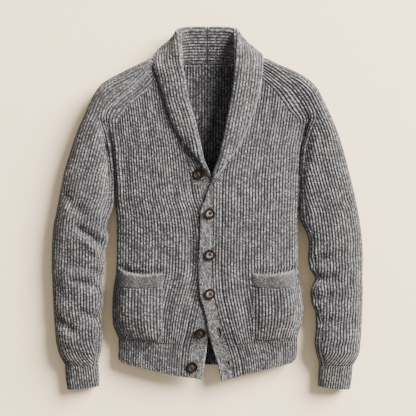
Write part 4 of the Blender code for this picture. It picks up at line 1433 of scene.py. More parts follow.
@dataclass
class FrontPanel:
    """A front and its hem, from the band or collar to the side seam and raglan.

    Args:
        half: the side of the garment.
        fashioned: ribs that fan out from the neck beside the raglan, into which the others end.
    """

    half: Half
    fashioned: int = 4

    def lay(self, name: str, levels: np.ndarray, pitch: float, fashioned: int, hem: bool) -> Cloth:
        """Lays rows of knit over the front.

        Args:
            name: the piece's name.
            levels: heights of the rows, from the top.
            pitch: from rib to rib.
            fashioned: ribs beside the outer edge.
            hem: whether this is the hem, whose foot is a free edge.

        Returns:
            The cloth.
        """
        half = self.half
        strip = fashioned * pitch
        sample = length(half.front_path(-300.0 if hem else -60.0))
        ribs = round((sample - strip) / pitch)
        inner = np.arange(ribs * COLUMNS + 1) / (ribs * COLUMNS)
        outer = np.arange(1, fashioned * COLUMNS + 1) / COLUMNS
        patch, area, widest, last = Patch(), 0.0, 0.0, levels[0]
        for y in levels:
            low, high = half.front_limits(y)
            reach = length(half.front_path(y))
            full = reach if y < YOKE else half.full
            low, high = low * full, high * full
            fan = strip * (1 + 0.5 * float(step((y - 178) / 30)) * (1 - 0.5 * float(step((y - 235) / 65))))
            limit = max(high - fan, low + 0.5) if fashioned else high
            d = np.clip(inner * (full - strip), low, limit)
            if fashioned:
                d = np.concatenate([d, limit + (high - limit) * outer / fashioned])
            rib = np.concatenate([inner * ribs, ribs + outer])
            p = half.front_point(d / full, y)
            a = np.clip(d, 0.002 * full, high - 0.002 * full) / full
            n = normals(half.front_point, a, y, 0.002, 0.6)
            swell = edge_swell(d, low, high, 2.6)
            swell *= 1 - 0.9 * np.exp(-(((d - limit) / 1.4) ** 2)) * bool(fashioned)
            if y > 20:
                swell *= np.where(d > 0.75 * high, np.clip(1.6 * n[:, 2], 0, 1), 1)
            if y <= UNDERARM:
                n[d >= high] = (1, 0, 0)
            if y <= HEM_TOP + 1:
                n[:, 1] = 0
            if hem:
                p[:, 1] += 3.5 * step((d - high + 14) / 14) * step((HEM_TOP - y) / 46)
            n = unit(n)
            tuck = seam_pull(d, low, high + 30, 2.6) + 0.5 * seam_pull(d, -999, high if y > 20 else 9999, 2.0)
            tuck += (-0.7 if hem else -0.5) * np.exp(-((abs(y - HEM_TOP) / 2.2) ** 2))
            if hem:
                tuck += rim(y - levels[-1])
            swell *= 1 - 0.35 * hem
            patch.rows.append(Row(p, p - n * WALL, n, rib, -y / COURSE, swell, 0.0, tuck, 0.5 * hem, 0.46))
            widest = max(widest, high - low)
            area, last = area + (high - low) * (last - y), y
        columns = len(inner) + len(outer)
        piece = patch.mesh(name, half.sign, all_of(columns), some_of(columns, COLUMNS))
        return Cloth(piece, widest, float(levels[0] - levels[-1]), area)

    def build(self, dresser: Dresser) -> None:
        """Builds the front and its hem.

        Args:
            dresser: hands the pieces to the frame.
        """
        side = self.half.name
        rows = levels_between(304.0, HEM_TOP + GAP, ROW)
        cloth = self.lay("knit_front_" + side, rows, BODY_PITCH, self.fashioned, False)
        dresser.knit(cloth, Slot.BODY, ("front_" + side,), ("back_panel", "hem_front_" + side))
        rows = levels_between(HEM_TOP, HEM_FOOT, 3.0, (False, True))
        cloth = self.lay("knit_hem_front_" + side, rows, TRIM_PITCH, 0, True)
        dresser.knit(cloth, Slot.TRIM, ("hem_front_" + side,), ("hem_back",))


@dataclass
class BackPanel:
    """The back and its hem, whose inside shows at the neck and between the fronts.

    Args:
        right: the half worn on the right.
        left: the half worn on the left.
        columns: columns to a rib.
    """

    right: Half
    left: Half
    columns: int = 4

    def point(self, a: np.ndarray, y: float) -> np.ndarray:
        """Points of the underside.

        Args:
            a: shares of the way out, negative on the right.
            y: the height.

        Returns:
            The points.
        """
        a = np.asarray(a, float)
        neck = step((y - 270) / 40)
        width, low = 30 + 36 * neck, 6 * neck
        out = np.zeros(a.shape + (3,))
        for half, own in ((self.right, a < 0), (self.left, a >= 0)):
            reach, edge = half.back_edge(y)
            u = np.abs(a[own]) * reach
            s = np.clip(1 - (reach - u) / width, 0, 1)
            z = low + (edge - low) * (1 - np.sqrt(1 - s * s))
            out[own] = np.stack([half.sign * u, np.full_like(u, y), z], axis=-1)
        return out

    def lay(self, name: str, levels: np.ndarray, pitch: float, hem: bool) -> Cloth:
        """Lays rows of knit over the back.

        Args:
            name: the piece's name.
            levels: heights of the rows, from the top.
            pitch: from rib to rib.
            hem: whether this is the hem.

        Returns:
            The cloth.
        """
        widest = max(self.left.back_edge(y)[0] for y in levels)
        count = int(widest * self.columns / pitch) + 2
        x = np.arange(-count, count + 1) * pitch / self.columns
        patch, area, last = Patch(), 0.0, levels[0]
        for y in levels:
            low, high = -self.right.back_edge(y)[0], self.left.back_edge(y)[0]
            held = np.clip(x, low, high)
            a = np.where(held < 0, held / -low, held / high)
            p = self.point(a, y)
            n = normals(self.point, np.clip(a, -0.998, 0.998), y, 0.001, 0.3, 1)
            n[:, 1] = 0
            n[:, 2] = np.maximum(n[:, 2], 0)
            if y <= UNDERARM:
                n[a <= -1], n[a >= 1] = (1, 0, 0), (-1, 0, 0)
            n = unit(n)
            swell = edge_swell(held, low, high, 4)
            tuck = rim(y - levels[-1]) if hem else 0.0
            rise = 0.35 * np.sin(held / 31 + y / 47) + 0.3 * np.sin(y / 23 - held / 77)
            if hem:
                p[:, 1] += 10 * step((np.abs(held) - 140) / 44) * step((HEM_TOP - y) / 50)
            lifted = p + n * (WALL + (rise * swell)[:, None])
            patch.rows.append(Row(lifted, p, n, x / pitch, -y / COURSE, 0.75 * swell, 0.0, tuck))
            area, last = area + (high - low) * (last - y), y
        keep = [int(np.argmin(np.abs(x)))]
        piece = patch.mesh(name, 1, all_of(len(x)), some_of(len(x), self.columns, keep))
        return Cloth(piece, 2 * widest, float(levels[0] - levels[-1]), area)

    def build(self, dresser: Dresser) -> None:
        """Builds the back and its hem.

        Args:
            dresser: hands the pieces to the frame.
        """
        shown = np.linspace(304.2, 96, 62)
        hidden = np.linspace(88, -268, 46)
        rows = np.concatenate([shown, hidden, [HEM_TOP + GAP]])
        cloth = self.lay("knit_back", rows, BODY_PITCH, False)
        dresser.knit(cloth, Slot.BODY, ("back_panel",), ("hem_back",))
        rows = levels_between(HEM_TOP, -331, 3.4, (False, True))
        dresser.knit(self.lay("knit_hem_back", rows, TRIM_PITCH, True), Slot.TRIM, ("hem_back",))


@dataclass
class Sleeve:
    """A raglan sleeve and its cuff, ribbed over the top and plain on the side that it lies on.

    Args:
        half: the side of the garment.
        fashioned: ribs that run beside the raglan seam.
        plain: columns of the underside.
        cuff_top: y where the cuff begins.
        cuff_foot: y of its edge.
    """

    half: Half
    fashioned: int = 3
    plain: int = 14
    cuff_top: float = -330.0
    cuff_foot: float = -374.0

    def stations(self, pace: float) -> list[float]:
        """Stations from the neck to the cuff.

        Args:
            pace: how far apart they are over the crest.

        Returns:
            The stations.
        """
        last = self.half.last
        fine = np.linspace(0, last, 240)
        arc = travel([self.half.sleeve_path(b)[0][60] for b in fine])
        count = round(arc[-1] / pace)
        high = list(np.interp(np.linspace(0, arc[-1], count + 1), arc, fine))
        return high + self.tube_stations(levels_between(UNDERARM, self.cuff_top + GAP, pace)[1:])

    def tube_stations(self, levels: np.ndarray) -> list[float]:
        """The stations of rows at these heights below the underarm."""
        return [self.half.last + (UNDERARM - y) / 100 for y in levels]

    def lay(self, name: str, stations: list, pitch: float, fashioned: int, cuff: bool) -> Cloth:
        """Lays rows of knit round the arm.

        Args:
            name: the piece's name.
            stations: the rows.
            pitch: from rib to rib.
            fashioned: ribs beside the raglan seam.
            cuff: whether this is the cuff.

        Returns:
            The cloth.
        """
        half, last = self.half, self.half.last
        ends = [[length(path) for path in half.sleeve_path(b)] for b in stations]
        strip = fashioned * pitch
        count = int(max(top for top, _ in ends) / pitch * COLUMNS) + 2
        ribbed = np.arange(-COLUMNS, count) * pitch / COLUMNS
        outer = np.arange(1, fashioned * COLUMNS + 1) / COLUMNS
        patch, area, widest, travelled, before = Patch(), 0.0, 0.0, 0.0, None
        for b, (high, under) in zip(stations, ends):
            low = -under
            plain = low + (ribbed[0] - low) * np.linspace(0, 1, self.plain + 1)[:-1]
            limit = max(high - strip, 1.0)
            d = np.concatenate([plain, np.clip(ribbed, low, limit)])
            rib = np.concatenate([plain / pitch, ribbed / pitch])
            if fashioned:
                d = np.concatenate([d, limit + (high - limit) * outer / fashioned])
                rib = np.concatenate([rib, math.ceil(count / COLUMNS) + outer])
            p = half.sleeve_point(d, b)
            n = normals(half.sleeve_point, np.clip(d, low + 0.5, high - 0.5), b, 0.4, 0.004)
            if b >= last:
                facing = unit(n[0] + n[-1] - (0.2, 0, 0)) * (1, 0, 1)
                n[0] = n[d >= high] = unit(facing)
            if cuff:
                n = unit(n * (1, 0, 1))
            swell = edge_swell(d, -1.0, high, 2.6)
            swell *= 1 - 0.9 * np.exp(-(((d - limit) / 1.4) ** 2)) * bool(fashioned)
            swell *= np.where(d > 0.75 * high, np.clip(1.6 * n[:, 2], 0, 1), 1)
            middle = half.sleeve_point(np.array([0.5 * high]), b)[0]
            moved = 0.0 if before is None else float(np.linalg.norm(middle - before))
            travelled, before = travelled + moved, middle
            y = UNDERARM - (b - last) * 100
            tuck = 0.5 * seam_pull(d, -999, high, 2.0) if b < last else np.zeros(len(d))
            tuck += -0.7 * np.exp(-(((y - self.cuff_top) / 2.2) ** 2)) * (b > last) * (d > -2)
            if cuff:
                tuck += rim(y - self.cuff_foot)
            patch.rows.append(Row(p, p - n * WALL, n, rib, travelled / COURSE, swell, 0.0, tuck))
            widest = max(widest, high - low)
            area += (high - low) * moved
        first = next(i for i, b in enumerate(stations) if b >= last - 1e-9)
        piece = patch.mesh(
            name, half.sign, all_of(len(d)), some_of(len(d), 5, range(self.plain)), open_rows=first
        )
        return Cloth(piece, widest, travelled, area)

    def build(self, dresser: Dresser) -> None:
        """Builds the sleeve and its cuff.

        Args:
            dresser: hands the pieces to the frame.
        """
        sleeve, cuff = "sleeve_" + self.half.name, "cuff_" + self.half.name
        cloth = self.lay("knit_" + sleeve, self.stations(ROW), BODY_PITCH, self.fashioned, False)
        dresser.knit(cloth, Slot.BODY, (sleeve,), (cuff,))
        stations = self.tube_stations(levels_between(self.cuff_top, self.cuff_foot, 3.0, (False, True)))
        cloth = self.lay("knit_" + cuff, stations, TRIM_PITCH, 0, True)
        dresser.knit(cloth, Slot.TRIM, (cuff,), (sleeve,))


@dataclass
class CollarBand:
    """The shawl collar and the button band below it, knitted in one.

    Args:
        half: the side of the garment.
        holes: y and distance from the seam of its buttonholes.
        hole_length: length of a buttonhole.
        hole_width: its width.
        shut: station from which the fold is shut and one face shows.
    """

    half: Half
    holes: list
    hole_length: float = 18.0
    hole_width: float = 3.4
    shut: float = 11.5

    def stations(self, pace: float) -> list[float]:
        """Stations from the centre back to the hem.

        Args:
            pace: the most that any edge moves from one to the next.

        Returns:
            The stations.
        """
        fine = np.linspace(0, len(self.half.strip_rows) - 1, 1500)
        rows = self.half.strip(fine)
        steps = [np.linalg.norm(np.diff(rows[:, i : i + 2], axis=0), axis=1) for i in (0, 3, 6)]
        arc = np.concatenate([[0], np.cumsum(np.max(steps, axis=0))])
        count = round(arc[-1] / pace)
        inner = list(np.interp(np.linspace(0, arc[-1], count + 1), arc, fine))
        low = [float(np.interp(arc[-1] - c, arc, fine)) for c in CLOSE_ROWS]
        return sorted(inner + low)

    def build(self, dresser: Dresser) -> None:
        """Builds the strip with its buttonholes.

        Args:
            dresser: hands the pieces to the frame.
        """
        half, side = self.half, self.half.name
        stations = self.stations(ROW)
        legs = [[length(leg) for leg in half.strip_legs(b)] for b in stations]
        pace = STRIP_PITCH / COLUMNS
        first = -int(max(leg[1] for leg in legs) / pace) - 1
        final = int(max(leg[0] for leg in legs) / pace) + 1
        columns = np.arange(first, final + 1) * pace
        patch, area, travelled, before = Patch(), 0.0, 0.0, None
        end = half.strip_rows[-1][1]
        for b, (high, low) in zip(stations, legs):
            s = np.clip(columns, -low, high)
            p = half.strip_point(s, b)
            near, edge = half.strip_point(np.array([high - 1, high]), b)
            onward = unit(edge - near)
            # The seam allowance lies under the next piece
            p = p + np.clip(columns - high, 0, 0.4 * (b < 5 or b > 14))[:, None] * onward
            n = half.strip_normals(s, b, (-low, high))
            if b == 0:
                n = unit(n * (0, 1, 1))
                p[:, 0] = -0.3
            shut = step((b - FOLD_SHUTS - 0.2) / 0.6)
            upper = edge_swell(s, -low - 9 * (1 - shut), high, 2.4) * step((b - 8.0) / 0.8) * (s > 0)
            lower = edge_swell(s, -low, high, 2.4) * (1 - shut)
            middle = half.strip_point(np.array([0.5 * high]), b)[0]
            moved = 0.0 if before is None else float(np.linalg.norm(middle - before))
            travelled, before = travelled + moved, middle
            tuck = rim(s + low) + seam_pull(s, -999, high, 2.4)
            if b > 20:
                tuck = tuck + rim(abs(end - half.strip(b)[1]))
            rib, plain = self.fine_knit(b, s, low, high)
            # On the collar at least 0.32 of the knit takes the painted lightness of level, which paints the
            # lapels lighter
            dense = np.clip((1 - plain) * 1.2, 0.32 * (b < self.shut), 1)
            # A seam joins the two halves at the centre back
            if b < 1.5:
                seam = np.abs(p[:, 0])
                plain = plain * step((seam - 2.5) / 2.5)
                tuck = tuck - 1.3 * np.exp(-(((seam - 4.4) / 1.1) ** 2)) + 1.3 * np.exp(-((seam / 1.7) ** 2))
            shade = self.level(b, s, low, high)
            if b < 1.5:
                dense, shade = np.where(seam < 1.5, 1.0, dense), np.where(seam < 1.5, 0.1, shade)
            half_wall = n * WALL / 2
            patch.rows.append(Row(
                p + half_wall, p - half_wall, n, rib, travelled / COURSE, upper * plain, lower * plain, tuck,
                dense, shade,
            ))
            area += (high + low) * moved
        every = all_of(len(columns))
        few = some_of(len(columns), 5, [i for i, s in enumerate(columns) if abs(s) < 8])
        piece = patch.mesh(
            "knit_collar_band_" + side, half.sign,
            lambda r: (every if stations[r] > 8 else few)(r),
            lambda r: (every if stations[r] < 12.3 else few)(r),
        )
        cloth = Cloth(piece, max(sum(leg) for leg in legs), travelled, area)
        dresser.knit(cloth, Slot.TRIM, ("collar_" + side, "band_" + side), ("front_" + side,))
        if self.holes:
            self.cut_holes(piece)

    def fine_knit(self, b: float, s: np.ndarray, low: float, high: float) -> Pair:
        """Where the strip changes from wide ribs to a dense, nearly smooth knit.

        Args:
            b: the station.
            s: distances from the roll.
            low: from the roll to the free edge.
            high: from the roll to the seam.

        Returns:
            Ribs counted across, and the share of the relief that is left, for each place.
        """
        tight, shut = 2.1, step((b - FOLD_SHUTS) / 1.2)
        edge = 4.2 * (1 - shut) + (high - 3.1 * STRIP_PITCH) * shut
        near_seam = 8.5 * (1 - step((b - 3.2) / 0.8))
        first, final = -low + edge, high - near_seam
        wide = np.clip(s, first, final)
        rib = (wide + tight * (s - wide)) / STRIP_PITCH - final / STRIP_PITCH * shut
        return rib, 1 - 0.9 * np.clip(np.abs(s - wide) / 1.5, 0, 1)

    def level(self, b: float, s: np.ndarray, low: float, high: float) -> np.ndarray:
        """How light the dense knit is painted: a painted highlight on the free edge, painted shade beside it,
        the seam dark, and the rest of the lapels painted light.

        Args:
            b, s, low, high: see fine_knit.

        Returns:
            The lightness of each place.
        """
        edge = s + low
        # Painted highlight on the free edge, painted shade beside it, dark in the seam, lapels painted light
        collar = np.where(edge < 2.4, 1.5, np.where(edge < 8, 0.42, np.where(high - s < 1.6, 0.2, 0.98)))
        return collar if b < self.shut else np.full(len(s), 0.92)

    def cut_holes(self, piece: Object) -> None:
        """Cuts the buttonholes through the band.

        Args:
            piece: the strip.
        """
        corners, faces, turns = [], [], 20
        for y, inset in self.holes:
            centre, run, normal = self.half.band_place(y, inset)
            side = np.cross(normal, run)
            base = len(corners)
            for z in (-5, 5):
                for x, w, _ in circle(1.0, turns):
                    wide = self.hole_width / 2 * math.copysign(abs(w) ** 0.7, w)
                    corner = centre + self.hole_length / 2 * x * run + wide * side + z * normal
                    corners.append(corner / 1000)
            faces += bridge(base, base + turns, turns)
            faces.append(tuple(base + turns - 1 - k for k in range(turns)))
            faces.append(tuple(base + turns + k for k in range(turns)))
        cutter = solid("holes", corners, faces, False)
        modifier = piece.modifiers.new("buttonholes", "BOOLEAN")
        modifier.operation, modifier.solver, modifier.object = "DIFFERENCE", "EXACT", cutter
        settle(piece)
        bpy.data.objects.remove(cutter)


@dataclass
class Pocket:
    """A patch pocket with a ribbed top, sewn on over the front and open at its mouth.

    Args:
        half: the side of the garment.
        inner: u of its inner edge.
        outer: its outer edge, from the side seam round the front.
        foot: y of its foot.
        mouth: y of its mouth at the corners.
        rib: y where its ribbed top begins.
        corner: radius of the inner corner of its foot.
        width: width over which that radius is set out.
        puff: how far it stands off the front.
    """

    half: Half
    inner: float = POCKET_INNER
    outer: float = 12.0
    foot: float = -270.0
    mouth: float = -128.0
    rib: float = -161.0
    corner: float = 18.0
    width: float = 96.0
    puff: float = 9.5

    def mouth_line(self, across: np.ndarray) -> np.ndarray:
        """Heights of the mouth, which dips at the middle."""
        return self.mouth - 4 + MOUTH_TILT * across - MOUTH_DIP * np.sin(math.pi * across) ** 0.8

    def rib_line(self, across: np.ndarray) -> np.ndarray:
        """Heights where the ribbed top begins."""
        return self.rib - 4 * np.sin(math.pi * across)

    def foot_line(self, across: np.ndarray) -> np.ndarray:
        """Heights of the foot, which is rounded at its inner corner."""
        bend = np.clip(1 - across * self.width / self.corner, 0, 1)
        return self.foot + self.corner - self.corner * np.sqrt(1 - bend**2)

    def arcs(self, y: float) -> tuple[float, float]:
        """Measures the front's section.

        Args:
            y: the height.

        Returns:
            Its length, and how much of it the pocket takes.
        """
        path = self.half.front_path(y)
        arc = travel(path)
        return arc[-1], arc[-1] - np.interp(self.inner, path[:, 0], arc) - self.outer

    def lay(
        self, name: str, foot: Callable, top: Callable, pitch: float, thick: float, rows: int, rib: bool
    ) -> Cloth:
        """Lays rows of knit between two lines.

        Args:
            name: the piece's name.
            foot: the lower line.
            top: the upper line.
            pitch: from rib to rib.
            thick: thickness of the wall.
            rows: how many rows.
            rib: whether this is the ribbed top.

        Returns:
            The cloth.
        """
        half = self.half
        count = round(self.arcs(-200.0)[1] / pitch)
        across = np.arange(count * COLUMNS + 1) / (count * COLUMNS)
        span = np.linspace(self.foot - 2, self.mouth + 2, 90)
        sizes = [self.arcs(y) for y in span]
        shares = [1 - (self.outer + wide * (1 - across)) / full for full, wide in sizes]
        places = np.array([half.front_point(a, y) for a, y in zip(shares, span)])
        ways = np.array([normals(half.front_point, a, y, 0.002, 0.6) for a, y in zip(shares, span)])
        patch, columns = Patch(), np.arange(len(across))
        levels = np.linspace(1, 0, rows)
        if rib:
            levels = np.array(sorted({*levels, 0.985, 0.96, 0.93}, reverse=True))
        for level in levels:
            y = foot(across) + (top(across) - foot(across)) * level
            at = np.clip((y - span[0]) / (span[1] - span[0]), 0, len(span) - 1.001)
            i = at.astype(int)
            t = (at - i)[:, None]
            p = places[i, columns] * (1 - t) + places[i + 1, columns] * t
            n = unit((ways[i, columns] * (1 - t) + ways[i + 1, columns] * t) * (1, 0.15, 1))
            rise = (y - self.foot) / (self.mouth - self.foot)
            puff = self.puff * np.sin(math.pi * across**1.5) * step(rise / 0.35)
            edge = np.minimum(across, 1 - across) * count * pitch
            down = 3.0 * np.exp(-((edge / 8) ** 2)) if rib else 4.3 * np.exp(-((edge / 15) ** 2))
            if not rib:
                down = np.maximum(down, 2.4 * np.exp(-(((y - foot(across)) / 4) ** 2)))
            wave = 0.8 * np.sin(across * 9 + y / 31) * np.clip(edge / 20, 0, 1)
            h = (RIB + 2 * GAP + 0.4 + puff + wave - down)[:, None]
            if rib:
                tight, fine, dense, swell = 2.4, 1.5, 1.0, 0.08 * edge_swell(edge, 0, 1e9, 2.6)
                tuck = rim(edge) + rim((top(across) - foot(across)) * (1 - level))
                tuck = tuck - 0.4 * np.exp(-(((y - foot(across)) / 2.2) ** 2))
            else:
                tight, fine, dense, swell = 1.0, 1.0, 0.6 * np.clip(1.2 - edge / 5, 0, 1), 1.0
                tuck = rim(y - foot(across)) - 0.3 * np.exp(-(((top(across) - y) / 2.2) ** 2))
            # Rows near the top get a painted highlight, 1.2, which on the ribbed top runs along the mouth;
            # the rest take 0.56
            patch.rows.append(Row(
                p + n * (h + thick), p + n * h, n, across * count * tight, -y / COURSE * fine, swell, 0.0,
                tuck, dense, 1.2 if level > 0.9 else 0.56,
            ))
        piece = patch.mesh(name, half.sign, all_of(len(across)), some_of(len(across), COLUMNS))
        high = float(np.mean(top(across) - foot(across)))
        wide = float(np.mean([wide for _, wide in sizes]))
        return Cloth(piece, wide, high, wide * high)

    def build(self, dresser: Dresser) -> None:
        """Builds the patch and its ribbed top.

        Args:
            dresser: hands the pieces to the frame.
        """
        pocket, rib = "pocket_" + self.half.name, "pocket_rib_" + self.half.name
        cloth = self.lay(
            "knit_" + pocket, self.foot_line, lambda s: self.rib_line(s) - GAP, BODY_PITCH, WALL, 34, False
        )
        dresser.knit(cloth, Slot.BODY, (pocket,), ("front_" + self.half.name,))
        cloth = self.lay("knit_" + rib, self.rib_line, self.mouth_line, TRIM_PITCH, WALL + 0.8, 12, True)
        dresser.knit(cloth, Slot.TRIM, (rib,), (pocket,))


# ---- buttons and sewing ----


@dataclass
class Button:
    """A turned horn button with a raised rim, a dish and four holes, sewn on with two bars of thread.

    Args:
        number: which CAD button it takes the place of.
        centre: the middle of its underside, in millimetres.
        normal: the way that it faces.
        turn: how far round it is turned.
        diameter: its diameter.
        thick: its thickness.
        dish: depth of the dish.
        hole_ring: from its middle to a hole.
        hole: radius of a hole.
        thread: radius of its thread.
    """

    number: int
    centre: np.ndarray
    normal: np.ndarray
    turn: float
    diameter: float = 22.0
    thick: float = 4.2
    dish: float = 1.5
    hole_ring: float = 2.7
    hole: float = 0.95
    thread: float = 0.32

    def profile(self) -> list[tuple[float, float]]:
        """The section, from the underside round the rim to the dish.

        Returns:
            Radius and height of its corners.
        """
        r, t = self.diameter / 2, self.thick
        return [
            (r - 1.6, 0.0), (r - 0.7, 0.35), (r - 0.15, 1.1), (r, 2.0), (r - 0.15, 3.0), (r - 0.6, t - 0.35),
            (r - 1.2, t), (r - 1.9, t), (r - 2.5, t - 0.3), (r - 3.1, t - 0.95), (r - 3.9, t - 1.35),
            (r - 5.2, t - self.dish), (4.6, t - self.dish),
        ]

    def place(self, points: np.ndarray) -> np.ndarray:
        """Carries points to the garment.

        Args:
            points: points in the button's own frame, in millimetres.

        Returns:
            The points in metres.
        """
        z = unit(np.array(self.normal, float))
        x = unit(np.cross((0, 1, 0), z))
        y = np.cross(z, x)
        c, s = math.cos(self.turn), math.sin(self.turn)
        x, y = c * x + s * y, -s * x + c * y
        points = np.asarray(points, float)
        return (self.centre + points[:, [0]] * x + points[:, [1]] * y + points[:, [2]] * z) / 1000

    def shell(self, turns: int = 64) -> tuple[np.ndarray, list]:
        """The turned shell with its four holes.

        Args:
            turns: faces round it.

        Returns:
            Its points, in its own frame, and its faces.
        """
        points, faces, rings = [], [], []
        for radius, z in self.profile():
            rings.append(len(points))
            points += circle(radius, turns, z)
        for low, high in zip(rings, rings[1:]):
            faces += bridge(low, high, turns)
        tops = self.web(points, faces, rings[-1], turns, self.thick - self.dish, True)
        lows = self.web(points, faces, rings[0], turns, 0.0, False)
        for top, low in zip(tops, lows):
            faces += bridge(top, low, HOLE_SIDES)
        return np.array(points), faces

    def web(self, points: list, faces: list, start: int, turns: int, level: float, up: bool) -> list[int]:
        """Closes a ring with a web that leaves four holes, a quarter of the web for each.

        Args:
            points: points so far.
            faces: faces so far.
            start: the ring's first point.
            turns: how many points it has.
            level: its height.
            up: whether the web faces up.

        Returns:
            The first point of each hole.
        """
        quarter, hub, spokes, starts = turns // 4, len(points), [], []
        points.append((0.0, 0.0, level))
        for k in range(4):
            spokes.append(len(points))
            points += circle(0.5 * math.hypot(*points[start + k * quarter][:2]), 1, level, k * math.pi / 2)
        for k in range(4):
            middle = math.pi / 4 + k * math.pi / 2
            centre = (self.hole_ring * math.cos(middle), self.hole_ring * math.sin(middle))
            ring = len(points)
            starts.append(ring)
            points += circle(self.hole, HOLE_SIDES, level, middle - math.pi, centre)
            rim_ids = [start + (k * quarter + i) % turns for i in range(quarter + 1)]
            loop = [hub, spokes[k], *rim_ids, spokes[(k + 1) % 4]]
            at = np.array([points[v][:2] for v in loop]) - centre
            around = np.unwrap(np.arctan2(at[:, 1], at[:, 0]))
            around = (around - around[0]) / (2 * math.pi) * HOLE_SIDES
            inner = [int(round(a)) for a in around] + [HOLE_SIDES]
            for a, b, ia, ib in zip(loop, loop[1:] + [hub], inner, inner[1:]):
                face = [a, b, *(ring + i % HOLE_SIDES for i in range(ib, ia - 1, -1))]
                faces.append(tuple(face if up else reversed(face)))
        return starts

    def build(self, dresser: Dresser, horn: Material, yarn: Material) -> None:
        """Builds the button and its thread.

        Args:
            dresser: hands them to the frame.
            horn: the button's finish.
            yarn: the thread's finish.
        """
        points, faces = self.shell()
        piece = solid("horn_button_%d" % self.number, self.place(points), faces)
        piece.data.materials.append(horn)
        corners = np.empty(len(piece.data.loops), dtype=int)
        piece.data.loops.foreach_get("vertex_index", corners)
        # How far out each corner lies, as a share of the radius, and its height
        at = points[corners] / (self.diameter / 2, self.diameter / 2, 1)
        turned = np.column_stack([np.hypot(at[:, 0], at[:, 1]), at[:, 2]])
        layer = piece.data.uv_layers.new(name="turned")
        layer.data.foreach_set("uv", turned.astype(np.float32).reshape(-1))
        dresser.hand_over(piece, ("button_%d" % self.number,))
        verts, faces = [], []
        spots = np.array(circle(self.hole_ring, 4, 0.0, math.pi / 4))
        floor = self.thick - self.dish
        for a, b in (spots[:2], spots[2:]):
            for side in (-0.28, 0.28):
                path = np.array([a * (1 - t) + b * t for t in np.linspace(0, 1, 13)])
                path[1:-1, 2] = [floor + 0.45 * math.sin(math.pi * k / 12) ** 0.35 for k in range(1, 12)]
                path[[0, -1], 2] = floor - 1.6
                across = unit((b - a)[[1, 0, 2]] * (-1, 1, 0)) * side
                tube(verts, faces, path + across, self.thread, 8)
        stitched = solid("button_thread_%d" % self.number, self.place(np.array(verts)), faces)
        stitched.data.materials.append(yarn)
        dresser.hand_over(stitched)


@dataclass
class Sewing:
    """The stitches round the buttonholes.

    Args:
        left: the half with the buttonholes.
        holes: y and distance from the seam of each buttonhole.
        reach: half the length of the ring of stitches.
        breadth: half its width.
        points: points in the ring.
    """

    left: Half
    holes: list
    reach: float = 10.2
    breadth: float = 2.9
    points: int = 40

    def build(self, dresser: Dresser, yarn: Material) -> None:
        """Builds the stitches.

        Args:
            dresser: hands them to the frame.
            yarn: their finish.
        """
        paths = []
        for y, inset in self.holes:
            centre, run, normal = self.left.band_place(y, inset)
            t = np.linspace(0, 2 * math.pi, self.points, endpoint=False)[:, None]
            ring = centre + self.reach * np.cos(t) * run + self.breadth * np.sin(t) * np.cross(run, normal)
            ring = ring + normal * (WALL / 2 + 0.55)
            paths.append((np.concatenate([ring, ring[:1]]), normal))
        edging = path_mesh("buttonhole_stitches", paths)
        sizes = {"Pitch": 0.0016, "Stitch length": 0.0022, "Thread": 0.0011}
        dresser.hand_over(bake(edging, stitch_tree(yarn), sizes))


# ---- studio ----


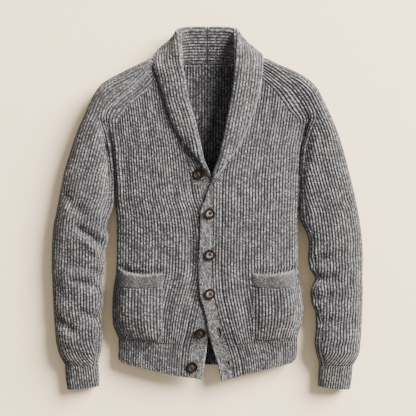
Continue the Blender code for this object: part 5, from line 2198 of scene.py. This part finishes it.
@dataclass
class Studio:
    """A pale floor, a large soft window to the upper right, a faint lamp above and a camera over all.

    Args:
        centre: what the camera looks at, in metres.
        height: how far up the camera stands.
        frame: width of what it sees at the cloth's height.
        level: height of the cloth that the width is given for.
        floor: half the width of the floor.
        window: the way to the window.
        far: how far off it is.
        room: strength of the light from all round.
    """

    centre: tuple[float, float] = (0.0016, 0.0017)
    height: float = 2.3
    frame: float = 0.8736
    level: float = 0.03
    floor: float = 9.0
    window: tuple[float, float, float] = (0.74, 0.53, 0.51)
    far: float = 7.0
    room: float = 0.54

    def lamp(self, name: str, size: float, power: float, colour: tuple, place: Vector) -> None:
        """Hangs a round lamp that faces the garment.

        Args:
            name: its name.
            size: its width in metres.
            power: its watts.
            colour: the colour of its light.
            place: where it hangs.
        """
        lamp = linked(name, bpy.data.lights.new(name, "AREA"))
        lamp.data.shape, lamp.data.size, lamp.data.energy, lamp.data.color = "DISK", size, power, colour
        lamp.location, lamp.rotation_euler = place, place.to_track_quat("Z", "Y").to_euler()

    def build(self) -> None:
        """Sets up floor, lights and camera."""
        corners = [(x * self.floor, y * self.floor, -0.0004) for x, y in ((-1, -1), (1, -1), (1, 1), (-1, 1))]
        floor = solid("floor", corners, [(0, 1, 2, 3)], False)
        floor.data.materials.append(Backdrop("paper floor").make())
        self.lamp("window", 4.8, 3560, (1.0, 0.985, 0.96), Vector(self.window).normalized() * self.far)
        self.lamp("ceiling", 3.0, 10, (1.0, 1.0, 1.0), Vector((0, 0, 4)))
        world = bpy.data.worlds.new("room")
        world.use_nodes = True
        fill(world.node_tree.nodes["Background"], {"Color": (1.0, 0.985, 0.97, 1), "Strength": self.room})
        bpy.context.scene.world = world
        camera = linked("camera", bpy.data.cameras.new("camera"))
        camera.location = (*self.centre, self.height)
        camera.data.sensor_width = 36
        camera.data.lens = 36 * (self.height - self.level) / self.frame
        bpy.context.scene.camera = camera


# ---- the garment ----

BUTTONHOLES = [(-9.7, 24.8), (-94.9, 23.2), (-176.2, 26), (-254.2, 25), (-325.2, 26)]
# Whether it is on the left band, y, distance from the seam, turn
BUTTONS = [
    (False, 71.8, 19, 0.3), (True, -9.7, 24.8, 0.7), (True, -94.9, 23.2, 0.2), (True, -176.2, 26, 1.1),
    (False, -257, 29.5, 0.5), (False, -329.7, 24, 0.9),
]


def main() -> None:
    """Dresses the frame and sets up the studio."""
    logging.basicConfig(level=logging.INFO, format="%(message)s")
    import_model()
    right = Half("right", -1, -2.5, SIDE_RIGHT, RAGLAN_RIGHT, TUBE_RIGHT, STRIP_RIGHT)
    left = Half("left", 1, 2.5, SIDE_LEFT, RAGLAN_LEFT, TUBE_LEFT, STRIP_LEFT)
    wools = {
        Slot.BODY: MarlWool("marled wool rib").make(),
        Slot.TRIM: MarlWool("marled wool fine rib").make(),
    }
    dresser = Dresser({slot: rib_tree(wool) for slot, wool in wools.items()})
    horns = {
        False: Horn("dark horn", "#140B07", "#341D12").make(),
        True: Horn("pale horn", "#3B312B", "#84766B").make(),
    }
    threads = {
        False: Thread("tan thread", "#35261B", "#7C6250").make(),
        True: Thread("dark thread", "#1A120E", "#4A3A2E").make(),
    }
    BackPanel(right, left).build(dresser)
    for half in (right, left):
        FrontPanel(half).build(dresser)
        Sleeve(half).build(dresser)
        Pocket(half).build(dresser)
        CollarBand(half, BUTTONHOLES if half is left else []).build(dresser)
    for number, (over, y, inset, turn) in enumerate(BUTTONS, 1):
        half = left if over else right
        centre, _, normal = half.band_place(y, inset)
        ribs = RIB if half.station(y) >= FLAT_FROM - 0.3 else 0
        Button(number, centre + normal * (WALL / 2 + ribs + 2 * GAP), normal, turn).build(
            dresser, horns[over], threads[over]
        )
    Sewing(left, BUTTONHOLES).build(dresser, wools[Slot.TRIM])
    Studio().build()


if __name__ == "__main__":
    main()
